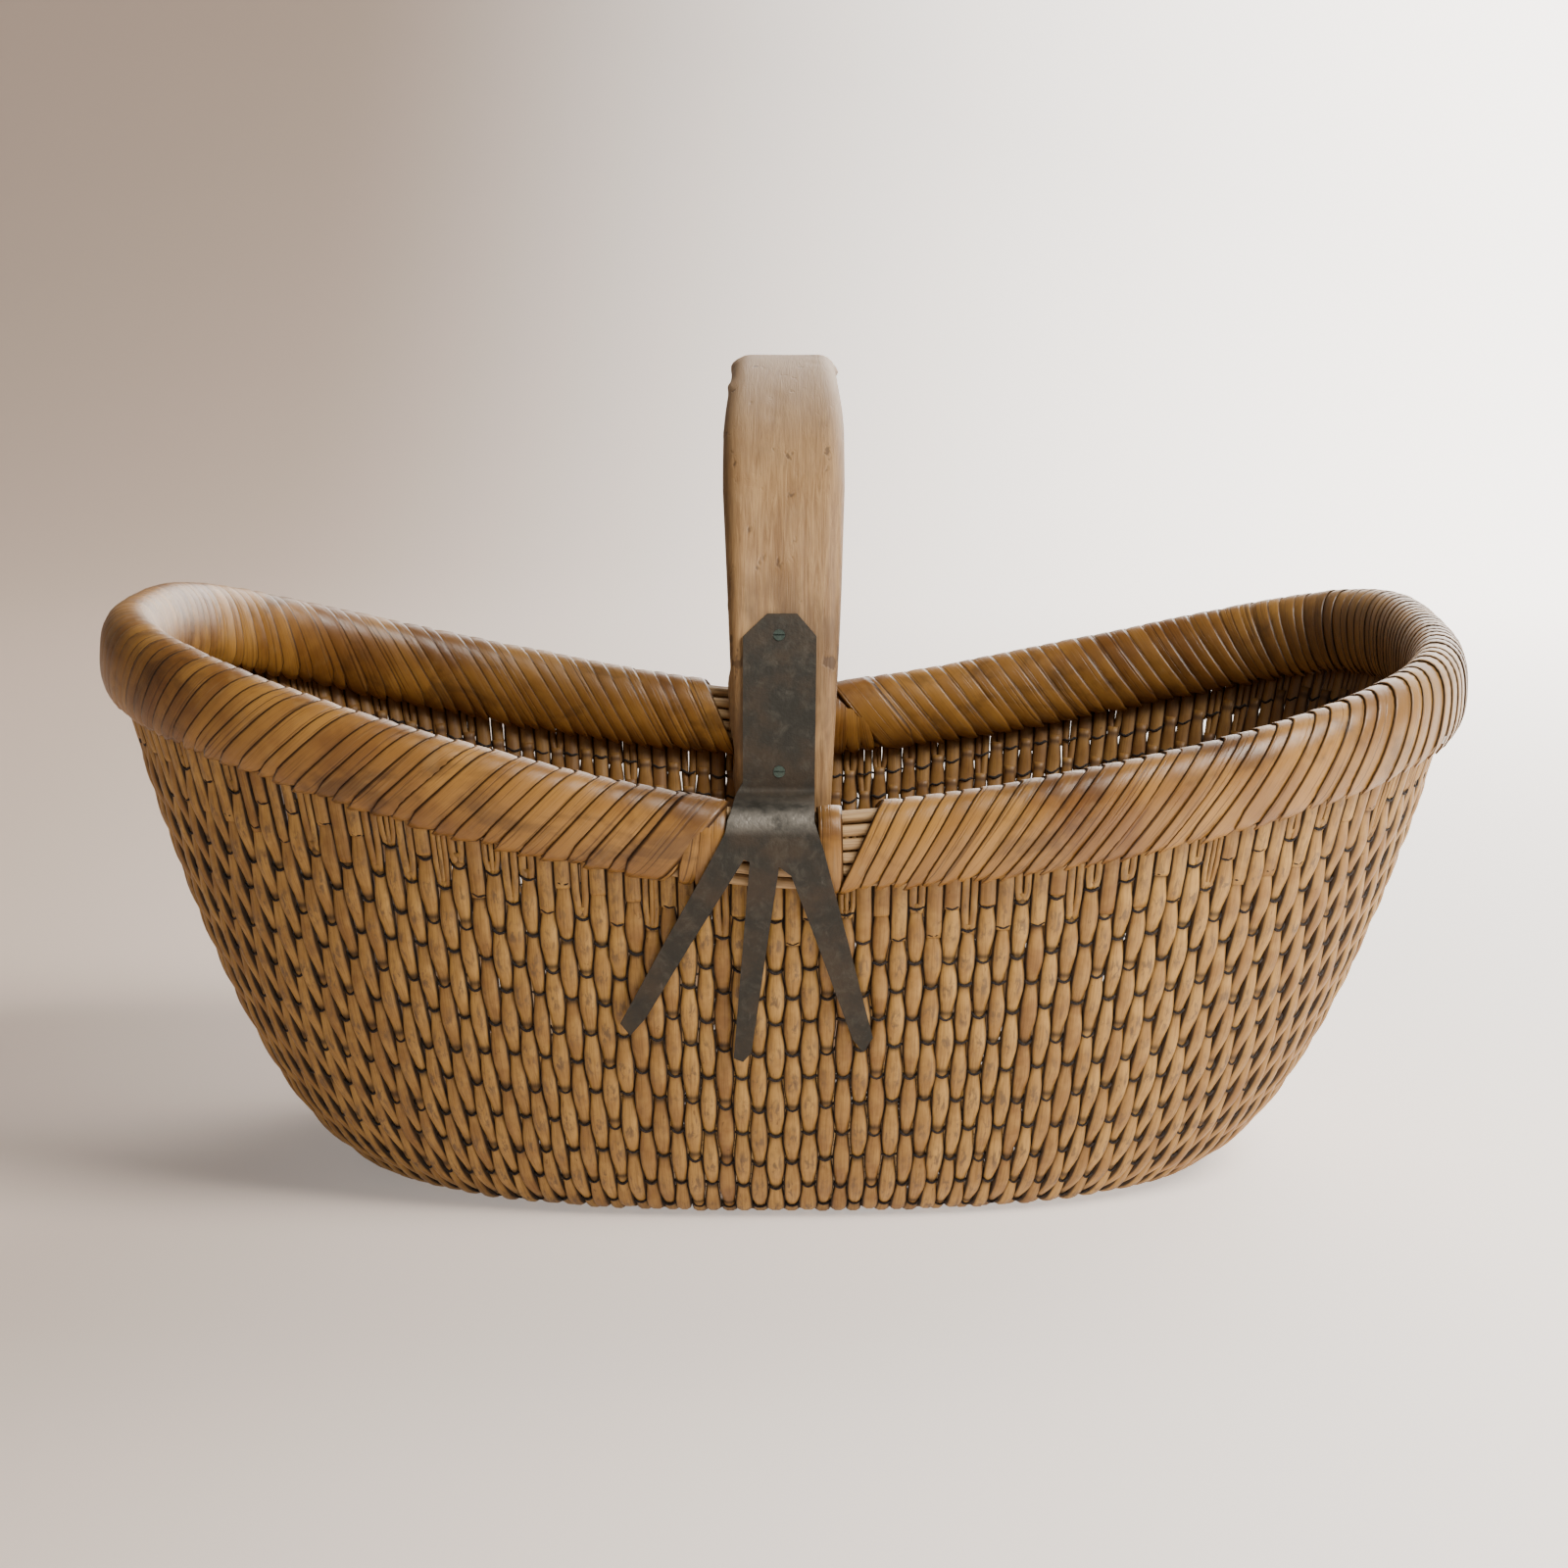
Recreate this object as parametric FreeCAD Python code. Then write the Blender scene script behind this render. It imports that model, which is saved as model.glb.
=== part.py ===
import FreeCAD, Part
import math
import os

# A string-woven willow carrying basket with a bentwood bow handle.
# Millimetres, +Z up, +X along the basket, origin under its centre at floor level.

# ---- rim line (middle of the bound rim) ----
RIM_HALF_LENGTH = 289.0
RIM_HALF_DEPTH = 190.0
RIM_SQUARENESS = 3.24
RIM_LOW_HEIGHT = 166.0
RIM_END_RISE = 60.5
RIM_RISE_POWER = 1.51
RIM_LENGTH_TILT = -4.6
RIM_DIAGONAL_WARP = 3.0

# ---- bound rim section ----
RIM_HALF_THICKNESS = 13.0
RIM_HALF_HEIGHT = 18.5
RIM_END_SWELL = 0.12
RIM_SWELL_LENGTH = 120.0
RIM_SECTION_SQUARENESS = 2.4
BINDING_THICKNESS = 1.5
BINDING_SKIRT_ANGLE = 58.0
CORE_ROD_RADIUS = 2.45
CORE_ROD_CLEARANCE = 0.4
BINDING_LEFT_OF_HANDLE = 6.5
BINDING_RIGHT_OF_HANDLE = 13.0

# ---- wall of willow stakes ----
BASE_HALF_LENGTH = 174.0
BASE_HALF_DEPTH = 135.0
BASE_SQUARENESS = 2.6
STAKE_PITCH = 7.6
STAKE_THICKNESS = 5.4
STAKE_TIP_THICKNESS = 4.4
STAKE_TOP_CLEARANCE = 1.5
STAKE_BASE_RATIO = 0.93
STAKE_STATIONS = (0.0, 0.16, 0.34, 0.52, 0.70, 0.86, 0.94, 1.0)
WALL_SECTORS = 16

# ---- base mat ----
BASE_ROD_PITCH = 7.2
BASE_ROD_THICKNESS = 4.8

# ---- sections ----
ROD_CORNERS = 8
TWINE_CORNERS = 5
BINDING_STEPS = 16

# ---- twine ----
TWINE_ROWS = 12
TWINE_RADIUS = 0.6
TWINE_FIRST_ROW = 0.045
TWINE_LAST_ROW = 0.90

# ---- bow handle ----
HANDLE_TOP_HEIGHT = 359.0
HANDLE_THICKNESS = 15.0
HANDLE_TOP_WIDTH = 53.0
HANDLE_FOOT_WIDTH = 33.0
HANDLE_CORNER_RADIUS = 4.5
HANDLE_SHOULDER_SQUARENESS = 2.2
HANDLE_FOOT_DROP = 59.0
HANDLE_RIM_CLEARANCE = 0.6

# ---- iron straps and their screws ----
STRAP_THICKNESS = 1.5
STRAP_RISE = 77.0
STRAP_WALL_REACH = 108.0
STRAP_PLATE_LEFT = -17.0
STRAP_PLATE_RIGHT = 13.5
SCREW_HEAD_RADIUS = 2.4
SCREW_SHANK_RADIUS = 1.4
SCREW_LENGTH = 12.0
SCREW_SLOT_WIDTH = 0.6
SCREW_SLOT_DEPTH = 0.5
SCREW_RISES = (13.0, 68.0)
SCREW_SIDE_OFFSET = -2.0

# ---- clearances ----
GAP = 0.35
SCREW_CLEARANCE = 0.1

V = FreeCAD.Vector
UP = V(0, 0, 1)
RIM_SAMPLES = 1440


def superellipse_point(angle, half_x, half_y, squareness):
    """Point of a superellipse in the plane at a parameter angle in radians."""
    power = 2.0 / squareness
    c, s = math.cos(angle), math.sin(angle)
    x = math.copysign(abs(c) ** power, c) * half_x
    y = math.copysign(abs(s) ** power, s) * half_y
    return x, y


def rim_height(x, y):
    """Height of the rim line above the floor at a plan position."""
    along = x / RIM_HALF_LENGTH
    across = y / RIM_HALF_DEPTH
    rise = RIM_END_RISE * min(abs(along), 1.0) ** RIM_RISE_POWER
    return RIM_LOW_HEIGHT + rise + RIM_LENGTH_TILT * along + 2.0 * RIM_DIAGONAL_WARP * along * across


def arc_table(half_x, half_y, squareness):
    """Plan points of one outline from the front centre right round, with arc lengths."""
    points = []
    lengths = [0.0]
    for index in range(RIM_SAMPLES + 1):
        turn = -math.pi / 2.0 + 2.0 * math.pi * index / RIM_SAMPLES
        points.append(superellipse_point(turn, half_x, half_y, squareness))
        if index:
            step = math.dist(points[-1], points[-2])
            lengths.append(lengths[-1] + step)
    return points, lengths


RIM_PLAN = arc_table(RIM_HALF_LENGTH, RIM_HALF_DEPTH, RIM_SQUARENESS)
BASE_PLAN = arc_table(BASE_HALF_LENGTH, BASE_HALF_DEPTH, BASE_SQUARENESS)
RIM_PERIMETER = RIM_PLAN[1][-1]
BASE_PERIMETER = BASE_PLAN[1][-1]


def plan_at(plan, fraction):
    """Plan point at a fraction of an outline's arc, counted from the front centre."""
    points, lengths = plan
    target = (fraction % 1.0) * lengths[-1]
    low, high = 0, len(lengths) - 1
    while high - low > 1:
        middle = (low + high) // 2
        if lengths[middle] <= target:
            low = middle
        else:
            high = middle
    share = (target - lengths[low]) / (lengths[high] - lengths[low])
    x = points[low][0] + share * (points[high][0] - points[low][0])
    y = points[low][1] + share * (points[high][1] - points[low][1])
    return x, y


def base_fraction(fraction):
    """Where on the base outline the stake at a rim fraction lands: even in front, crowded at the ends."""
    quarter = fraction * 4.0
    index = math.floor(quarter)
    within = quarter - index
    from_side = within if index % 2 == 0 else 1.0 - within
    mean = BASE_PERIMETER / RIM_PERIMETER
    end_ratio = 1.5 * (mean - STAKE_BASE_RATIO / 3.0)
    side_part = (STAKE_BASE_RATIO - end_ratio) * (1.0 - (1.0 - from_side) ** 3) / 3.0
    reached = (end_ratio * from_side + side_part) / mean
    return (index + (reached if index % 2 == 0 else 1.0 - reached)) / 4.0


def rim_frame(fraction):
    """Centre of the rim, its outward direction and its size factor at a fraction."""
    x, y = plan_at(RIM_PLAN, fraction)
    before = plan_at(RIM_PLAN, fraction - 0.0015)
    after = plan_at(RIM_PLAN, fraction + 0.0015)
    outward = V(after[1] - before[1], before[0] - after[0], 0).normalize()
    swell = 1.0 + RIM_END_SWELL * min(abs(x) / RIM_SWELL_LENGTH, 1.0) ** 1.5
    return V(x, y, rim_height(x, y)), outward, swell


def wall_point(fraction, share):
    """Middle of the wall: share 0 is the base outline, 1 is the underside of the rim."""
    rim_x, rim_y = plan_at(RIM_PLAN, fraction)
    base_x, base_y = plan_at(BASE_PLAN, base_fraction(fraction))
    top = rim_height(rim_x, rim_y) - RIM_HALF_HEIGHT
    low = STAKE_THICKNESS / 2.0 + GAP
    x = base_x + (rim_x - base_x) * share
    y = base_y + (rim_y - base_y) * share
    return V(x, y, low + (top - low) * share * share)


def corner_spread(corners):
    """How much further out the corners of a many-sided rod stand than its flats."""
    return 1.0 / math.cos(math.pi / corners)


def oval(centre, side, out, half_width, half_depth, corners=ROD_CORNERS):
    """Many-sided wire across a rod, its flats at the stated half sizes."""
    spread = corner_spread(corners)
    points = []
    for index in range(corners):
        turn = 2.0 * math.pi * (index + 0.5) / corners
        across = side * (spread * half_width * math.cos(turn))
        through = out * (spread * half_depth * math.sin(turn))
        points.append(centre + across + through)
    return Part.makePolygon(points + points[:1])


def export(name, shapes):
    """Write one node, a single solid or a group of separate ones."""
    shape = shapes[0] if len(shapes) == 1 else Part.makeCompound(shapes)
    shape.exportStep("parts/" + name + ".step")


# ---- wall -----------------------------------------------------------------

def stake_count():
    """Even number of stakes, a whole number of them in every wall sector."""
    per_sector = round(RIM_PERIMETER / (STAKE_PITCH * WALL_SECTORS))
    per_sector += per_sector % 2
    return per_sector * WALL_SECTORS


def make_stake(index, count):
    """One willow stake from the base outline up into the rim, upright inside it."""
    fraction = (index + 0.5) / count
    wires = []
    side = out = V(0, 0, 0)
    half_width = 0.0
    for share in STAKE_STATIONS:
        centre = wall_point(fraction, share)
        before = wall_point(fraction - 1.0 / count, share)
        after = wall_point(fraction + 1.0 / count, share)
        lower = wall_point(fraction, max(share - 0.02, 0.0))
        upper = wall_point(fraction, share + 0.02)
        along = upper - lower
        if share == 0.0:
            along.z = 0.0
        along.normalize()
        side = after - before
        side = (side - along * side.dot(along))
        half_width = side.Length / 4.0 - GAP / 2.0
        side.normalize()
        out = side.cross(along).normalize()
        thickness = min(STAKE_THICKNESS, 2.6 * half_width)
        if share < STAKE_STATIONS[-1]:
            wires.append(oval(centre, side, out, half_width, thickness / 2.0))
    foot, outward, _ = rim_frame(fraction)
    side = UP.cross(outward)
    rise = RIM_HALF_HEIGHT + stake_top()
    for part in (0.0, 0.2, 0.6, 1.0):
        centre = foot + UP * (part * rise - RIM_HALF_HEIGHT)
        wires.append(oval(centre, side, outward, half_width, STAKE_TIP_THICKNESS / 2.0))
    return Part.makeLoft(wires, True)


def make_wall():
    """All the stakes, gathered in sectors that start at the front centre."""
    count = stake_count()
    per_sector = count // WALL_SECTORS
    for sector in range(WALL_SECTORS):
        first = sector * per_sector
        stakes = [make_stake(index, count) for index in range(first, first + per_sector)]
        export("wall_stakes_%02d" % (sector + 1), stakes)


def make_base():
    """Mat of parallel rods that closes the bottom inside the base outline."""
    inset = STAKE_THICKNESS / 2.0 + GAP
    half_length = BASE_HALF_LENGTH - inset
    half_depth = BASE_HALF_DEPTH - inset
    half_count = int((half_length - BASE_ROD_PITCH) / BASE_ROD_PITCH)
    rods = []
    for step in range(-half_count, half_count + 1):
        x = step * BASE_ROD_PITCH
        edge = (abs(x) + BASE_ROD_PITCH / 2.0) / half_length
        reach = half_depth * (1.0 - edge ** BASE_SQUARENESS) ** (1.0 / BASE_SQUARENESS)
        wires = []
        for y in (-reach, reach):
            centre = V(x, y, BASE_ROD_THICKNESS / 2.0)
            half_width = (BASE_ROD_PITCH - GAP) / 2.0
            wires.append(oval(centre, V(1, 0, 0), UP, half_width, BASE_ROD_THICKNESS / 2.0))
        rods.append(Part.makeLoft(wires, True))
    export("base_rods", rods)


def make_twine():
    """Rows of twine round the outside of the wall, two half rings in each row."""
    standoff = STAKE_THICKNESS / 2.0 + GAP + TWINE_RADIUS
    stations = 30
    for row in range(TWINE_ROWS):
        share = TWINE_FIRST_ROW + (TWINE_LAST_ROW - TWINE_FIRST_ROW) * row / (TWINE_ROWS - 1)
        share = share ** 0.62
        halves = []
        for start in (-0.25, 0.25):
            wires = []
            for index in range(stations + 1):
                fraction = start + 0.001 + 0.498 * index / stations
                centre = wall_point(fraction, share)
                before = wall_point(fraction - 0.002, share)
                after = wall_point(fraction + 0.002, share)
                lower = wall_point(fraction, share - 0.02)
                upper = wall_point(fraction, share + 0.02)
                tangent = (after - before).normalize()
                rise = (upper - lower).normalize()
                out = tangent.cross(rise).normalize()
                rise = out.cross(tangent)
                spot = centre + out * standoff
                wires.append(oval(spot, rise, out, TWINE_RADIUS, TWINE_RADIUS, TWINE_CORNERS))
            halves.append(Part.makeLoft(wires, True))
        export("twine_row_%02d" % (row + 1), halves)


# ---- rim ------------------------------------------------------------------

def rim_spot(fraction, sideways, upward):
    """Point of the rim section, scaled with the local size of the rim."""
    centre, outward, swell = rim_frame(fraction)
    return centre + outward * sideways + UP * (upward * swell)


def core_rod(start, end, sideways, upward):
    """One long willow rod inside the rim."""
    stations = 34
    wires = []
    for index in range(stations + 1):
        fraction = start + (end - start) * index / stations
        centre = rim_spot(fraction, sideways, upward)
        before = rim_spot(fraction - 0.001, sideways, upward)
        after = rim_spot(fraction + 0.001, sideways, upward)
        along = (after - before).normalize()
        outward = rim_frame(fraction)[1]
        out = (outward - along * outward.dot(along)).normalize()
        wires.append(oval(centre, along.cross(out), out, CORE_ROD_RADIUS, CORE_ROD_RADIUS))
    return Part.makeLoft(wires, True)


def rod_line():
    """Half thickness and half height of the line that the core rods' centres lie on."""
    inset = BINDING_THICKNESS + GAP + CORE_ROD_RADIUS
    return RIM_HALF_THICKNESS - inset, RIM_HALF_HEIGHT - inset


def side_rod_offset(height):
    """Distance of a side rod from the middle of the rim, tucked inside the binding."""
    reach, tall = rod_line()
    power = RIM_SECTION_SQUARENESS
    return reach * (1.0 - abs(height / tall) ** power) ** (1.0 / power)


def rod_height(offset):
    """Height on the core rods' line at a distance from the middle of the rim."""
    reach, tall = rod_line()
    power = RIM_SECTION_SQUARENESS
    return tall * (1.0 - abs(offset / reach) ** power) ** (1.0 / power)


def top_rod_spot():
    """Offset and height of the two rods that lie side by side on top."""
    offset = CORE_ROD_RADIUS + CORE_ROD_CLEARANCE / 2.0
    return offset, rod_height(offset) - CORE_ROD_CLEARANCE


def side_rod_heights():
    """Heights of the rods stacked on each side, clear of the stakes and of the top rods."""
    pitch = 2.0 * CORE_ROD_RADIUS + CORE_ROD_CLEARANCE
    corner = CORE_ROD_RADIUS * corner_spread(ROD_CORNERS)
    lowest = -rod_height(STAKE_TIP_THICKNESS / 2.0 + GAP + corner)
    top = top_rod_spot()[1]
    count = 1 + int((top - 0.75 * pitch - lowest) / pitch)
    return [lowest + pitch * step for step in range(count)]


def stake_top():
    """Height of the stake ends inside the rim, under the top rods."""
    corner = CORE_ROD_RADIUS * corner_spread(ROD_CORNERS)
    return top_rod_spot()[1] - corner - STAKE_TOP_CLEARANCE


def make_rim_rods():
    """Outer, inner and top rods, a front and a rear length of each."""
    end_gap = 0.0004
    for half, start, end in (("front", -0.25, 0.25), ("rear", 0.25, 0.75)):
        first, last = start + end_gap, end - end_gap
        outer = [core_rod(first, last, side_rod_offset(z), z) for z in side_rod_heights()]
        inner = [core_rod(first, last, -side_rod_offset(z), z) for z in side_rod_heights()]
        offset, height = top_rod_spot()
        top = [core_rod(first, last, sign * offset, height) for sign in (-1, 1)]
        export("rim_outer_rods_" + half, outer)
        export("rim_inner_rods_" + half, inner)
        export("rim_top_rods_" + half, top)


def binding_line(fraction, inset):
    """Points over the rim, from the outer skirt to the inner one."""
    points = []
    for index in range(BINDING_STEPS + 1):
        degrees = -BINDING_SKIRT_ANGLE + (180.0 + 2.0 * BINDING_SKIRT_ANGLE) * index / BINDING_STEPS
        sideways, upward = superellipse_point(math.radians(degrees), RIM_HALF_THICKNESS - inset,
                                              RIM_HALF_HEIGHT - inset, RIM_SECTION_SQUARENESS)
        points.append(rim_spot(fraction, sideways, upward))
    return points


def binding_wire(fraction):
    """Section of the binding, an upturned channel."""
    outer = binding_line(fraction, 0.0)
    inner = binding_line(fraction, BINDING_THICKNESS)
    return Part.makePolygon(outer + inner[::-1] + outer[:1])


def make_binding(name, start, end):
    """One quarter of the split-willow binding."""
    stations = 18
    wires = [binding_wire(start + (end - start) * index / stations) for index in range(stations + 1)]
    export(name, [Part.makeLoft(wires, True)])


def make_bindings():
    """Four lengths of binding that stop short of the handle's feet."""
    half_handle = handle_width(arch_spring()) / 2.0
    left = (half_handle + BINDING_LEFT_OF_HANDLE) / RIM_PERIMETER
    right = (half_handle + BINDING_RIGHT_OF_HANDLE) / RIM_PERIMETER
    end_gap = 0.0003
    make_binding("rim_binding_front_right", right, 0.25 - end_gap)
    make_binding("rim_binding_rear_right", 0.25 + end_gap, 0.5 - left)
    make_binding("rim_binding_rear_left", 0.5 + right, 0.75 - end_gap)
    make_binding("rim_binding_front_left", 0.75 + end_gap, 1.0 - left)


# ---- handle ---------------------------------------------------------------

def inner_rod_face():
    """Half-depth of the clear space between the rods of the front and rear rims."""
    deepest = max(side_rod_offset(z) for z in side_rod_heights())
    return RIM_HALF_DEPTH - deepest - CORE_ROD_RADIUS


def arch_spring():
    """Height at which the straight feet of the handle turn into the bow."""
    return RIM_LOW_HEIGHT + RIM_HALF_HEIGHT


def handle_face(angle):
    """Point and outward normal of the bow's outer face, in the Y-Z plane; 0 is the front spring."""
    half_span = inner_rod_face() - HANDLE_RIM_CLEARANCE
    rise = HANDLE_TOP_HEIGHT - arch_spring()
    across, up = superellipse_point(angle, half_span, rise, HANDLE_SHOULDER_SQUARENESS)
    exponent = HANDLE_SHOULDER_SQUARENESS - 1.0
    slope_y = math.copysign(abs(across / half_span) ** exponent, across) / half_span
    slope_z = abs(up / rise) ** exponent / rise
    return V(0, -across, arch_spring() + up), V(0, -slope_y, slope_z).normalize()


def face_at_rise(rise):
    """Outer face of the bow at a height above the spring, on the front side."""
    full = HANDLE_TOP_HEIGHT - arch_spring()
    share = max(rise, 0.0) / full
    angle = math.asin(share ** (HANDLE_SHOULDER_SQUARENESS / 2.0))
    point, normal = handle_face(angle)
    return V(0, point.y, arch_spring() + rise), normal


def handle_section(outer, normal, width):
    """Rectangle with eased corners across the bow."""
    side = V(1, 0, 0)
    radius = HANDLE_CORNER_RADIUS
    half = width / 2.0
    middle = outer - normal * (HANDLE_THICKNESS / 2.0)
    flat_x, flat_n = half - radius, HANDLE_THICKNESS / 2.0 - radius
    cut = radius * math.sqrt(0.5)
    corners = ((1, 1), (-1, 1), (-1, -1), (1, -1))

    def spot(x, n):
        return middle + side * x + normal * n

    points = []
    for sx, sn in corners:
        on_side = spot(sx * half, sn * flat_n)
        on_face = spot(sx * flat_x, sn * (flat_n + radius))
        bend = spot(sx * (flat_x + cut), sn * (flat_n + cut))
        points += [on_side, bend, on_face] if sx * sn > 0 else [on_face, bend, on_side]
    return Part.makePolygon(points + points[:1])


def handle_width(height):
    """Width of the bow, broad on top and narrower at the feet."""
    foot = arch_spring() - HANDLE_FOOT_DROP
    share = (height - foot) / (HANDLE_TOP_HEIGHT - foot)
    return HANDLE_FOOT_WIDTH + (HANDLE_TOP_WIDTH - HANDLE_FOOT_WIDTH) * share


def make_handle():
    """Bentwood bow whose feet go down inside the rim."""
    wires = []
    foot_steps = 3
    bow_steps = 20
    for index in range(foot_steps):
        drop = HANDLE_FOOT_DROP * (1.0 - index / foot_steps)
        spring, normal = handle_face(0.0)
        spot = spring - UP * drop
        wires.append(handle_section(spot, normal, handle_width(spot.z)))
    for index in range(bow_steps + 1):
        spot, normal = handle_face(math.pi * index / bow_steps)
        wires.append(handle_section(spot, normal, handle_width(spot.z)))
    for index in range(1, foot_steps + 1):
        drop = HANDLE_FOOT_DROP * index / foot_steps
        spring, normal = handle_face(math.pi)
        spot = spring - UP * drop
        wires.append(handle_section(spot, normal, handle_width(spot.z)))
    bow = Part.makeLoft(wires, True)
    for side in (1, -1):
        for rise in SCREW_RISES:
            bow = bow.cut(screw_bore(rise, side))
    export("bentwood_handle", [bow])


# ---- straps and screws ----------------------------------------------------

def screw_line(rise, side):
    """Seat of a screw on the strap's outer face and the direction its head looks."""
    spot, normal = face_at_rise(rise)
    seat = spot + normal * (GAP + STRAP_THICKNESS) + V(SCREW_SIDE_OFFSET, 0, 0)
    if side < 0:
        seat = V(-seat.x, -seat.y, seat.z)
        normal = V(-normal.x, -normal.y, normal.z)
    return seat, normal


def screw_bore(rise, side):
    """Hole for one screw through the strap and into the bow."""
    seat, normal = screw_line(rise, side)
    depth = SCREW_LENGTH + 2.0 * GAP
    radius = SCREW_SHANK_RADIUS + SCREW_CLEARANCE
    shank = Part.makeCylinder(radius, depth, seat, normal * -1)
    recess = Part.makeCylinder(SCREW_HEAD_RADIUS + SCREW_CLEARANCE, STRAP_THICKNESS * 0.6 + 1.0,
                               seat + normal, normal * -1)
    return shank.fuse(recess)


def make_screw(name, rise, side):
    """Slotted screw, its head let into the strap."""
    seat, normal = screw_line(rise, side)
    head_height = STRAP_THICKNESS * 0.6 - SCREW_CLEARANCE
    proud = 0.3
    head = Part.makeCylinder(SCREW_HEAD_RADIUS, head_height + proud, seat + normal * proud, normal * -1)
    shank = Part.makeCylinder(SCREW_SHANK_RADIUS, SCREW_LENGTH, seat, normal * -1)
    screw = head.fuse(shank)
    across = V(1, 0, 0)
    along = normal.cross(across)
    corner = seat + normal * (proud - SCREW_SLOT_DEPTH)
    corner = corner - across * SCREW_HEAD_RADIUS - along * (SCREW_SLOT_WIDTH / 2.0)
    base = Part.makePolygon([corner, corner + across * (2 * SCREW_HEAD_RADIUS),
                             corner + across * (2 * SCREW_HEAD_RADIUS) + along * SCREW_SLOT_WIDTH,
                             corner + along * SCREW_SLOT_WIDTH, corner])
    slot = Part.Face(base).extrude(normal * (SCREW_SLOT_DEPTH + proud))
    export(name, [screw.cut(slot)])


def strap_inner_line():
    """Inner side of the strap in the Y-Z plane, from its top edge down to the prong tips."""
    points = []
    plate_steps = 12
    for index in range(plate_steps + 1):
        rise = STRAP_RISE + 4.0 - (STRAP_RISE - 1.0) * index / plate_steps
        spot, normal = face_at_rise(rise)
        points.append(spot + normal * GAP)
    clear = GAP + 0.15
    for degrees in (78.0, 52.0, 28.0, 8.0, -12.0, -34.0):
        across, up = superellipse_point(math.radians(degrees), RIM_HALF_THICKNESS + clear,
                                        RIM_HALF_HEIGHT + clear, RIM_SECTION_SQUARENESS)
        points.append(V(0, -RIM_HALF_DEPTH - across, RIM_LOW_HEIGHT + up))
    wall_out = STAKE_THICKNESS / 2.0 + 2.5 * GAP + 2.0 * TWINE_RADIUS
    for drop in (0.30, 0.55, 0.80, 1.04):
        height = RIM_LOW_HEIGHT - STRAP_WALL_REACH * drop
        share = math.sqrt(height / (RIM_LOW_HEIGHT - RIM_HALF_HEIGHT))
        y = BASE_HALF_DEPTH + (RIM_HALF_DEPTH - BASE_HALF_DEPTH) * share
        points.append(V(0, -y - wall_out, height - STAKE_THICKNESS / 4.0))
    return points


def strap_sheet():
    """Bent sheet, wide enough for the prongs to be cut from it."""
    inner = strap_inner_line()
    inner_curve = Part.BSplineCurve()
    inner_curve.interpolate(inner)
    steps = 60
    outer = []
    for index in range(steps + 1):
        place = inner_curve.FirstParameter
        place += (inner_curve.LastParameter - inner_curve.FirstParameter) * index / steps
        tangent = inner_curve.tangent(place)[0]
        outer.append(inner_curve.value(place) + V(0, tangent.z, -tangent.y) * STRAP_THICKNESS)
    outer_curve = Part.BSplineCurve()
    outer_curve.interpolate(outer)
    edges = [inner_curve.toShape(), Part.makeLine(inner[-1], outer[-1]), outer_curve.toShape(),
             Part.makeLine(outer[0], inner[0])]
    profile = Part.Face(Part.Wire(Part.sortEdges(edges)[0]))
    width = 90.0
    profile.translate(V(-width, 0, 0))
    return profile.extrude(V(2.0 * width, 0, 0))


def strap_outline():
    """Front outline of the strap: a chamfered plate that splits into three prongs."""
    top = arch_spring() + STRAP_RISE
    fork = RIM_LOW_HEIGHT
    low = RIM_LOW_HEIGHT - STRAP_WALL_REACH
    left, right = STRAP_PLATE_LEFT, STRAP_PLATE_RIGHT
    chamfer = 9.0
    reach = STRAP_WALL_REACH
    return [
        (left + chamfer + 1.0, top), (right - chamfer + 1.0, top), (right, top - chamfer),
        (right - 1.0, fork + 14.0), (right + 3.0, fork + 2.0),
        (37.0, low + 0.26 * reach), (33.0, low + 0.20 * reach), (28.5, low + 0.255 * reach),
        (3.0, fork - 8.0), (-2.0, fork - 4.0),
        (-13.5, low + 0.20 * reach), (-17.0, low + 0.16 * reach), (-21.0, low + 0.175 * reach),
        (-14.0, fork - 2.0), (-16.5, fork - 1.0),
        (-57.5, low + 0.34 * reach), (-64.0, low + 0.27 * reach), (-68.0, low + 0.32 * reach),
        (left - 7.0, fork + 10.0), (left - 6.0, fork + 15.0), (left - 3.0, fork + 22.0),
        (left, fork + 27.0), (left, top - chamfer),
    ]


def make_straps():
    """Iron straps over the rim, the rear one turned half round."""
    corners = [V(x, -2.0 * RIM_HALF_DEPTH, z) for x, z in strap_outline()]
    cutter = Part.Face(Part.makePolygon(corners + corners[:1])).extrude(V(0, 2.0 * RIM_HALF_DEPTH, 0))
    strap = strap_sheet().common(cutter)
    for rise in SCREW_RISES:
        strap = strap.cut(screw_bore(rise, 1))
    rear = strap.copy()
    rear.rotate(V(0, 0, 0), UP, 180.0)
    export("front_strap", [strap])
    export("rear_strap", [rear])


def make_screws():
    """Two screws in each strap."""
    for place, side in (("front", 1), ("rear", -1)):
        make_screw(place + "_screw_lower", SCREW_RISES[0], side)
        make_screw(place + "_screw_upper", SCREW_RISES[1], side)


def main():
    """Build every node."""
    os.makedirs("parts", exist_ok=True)
    make_wall()
    make_base()
    make_twine()
    make_rim_rods()
    make_bindings()
    make_handle()
    make_straps()
    make_screws()


main()
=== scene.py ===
"""Deep willow gathering basket with a bentwood bow handle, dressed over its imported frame."""

import logging
import math
from dataclasses import dataclass
from enum import Enum
from functools import cached_property
from typing import Any, Sequence

import bmesh
import bpy
import numpy as np
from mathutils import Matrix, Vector, noise

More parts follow.
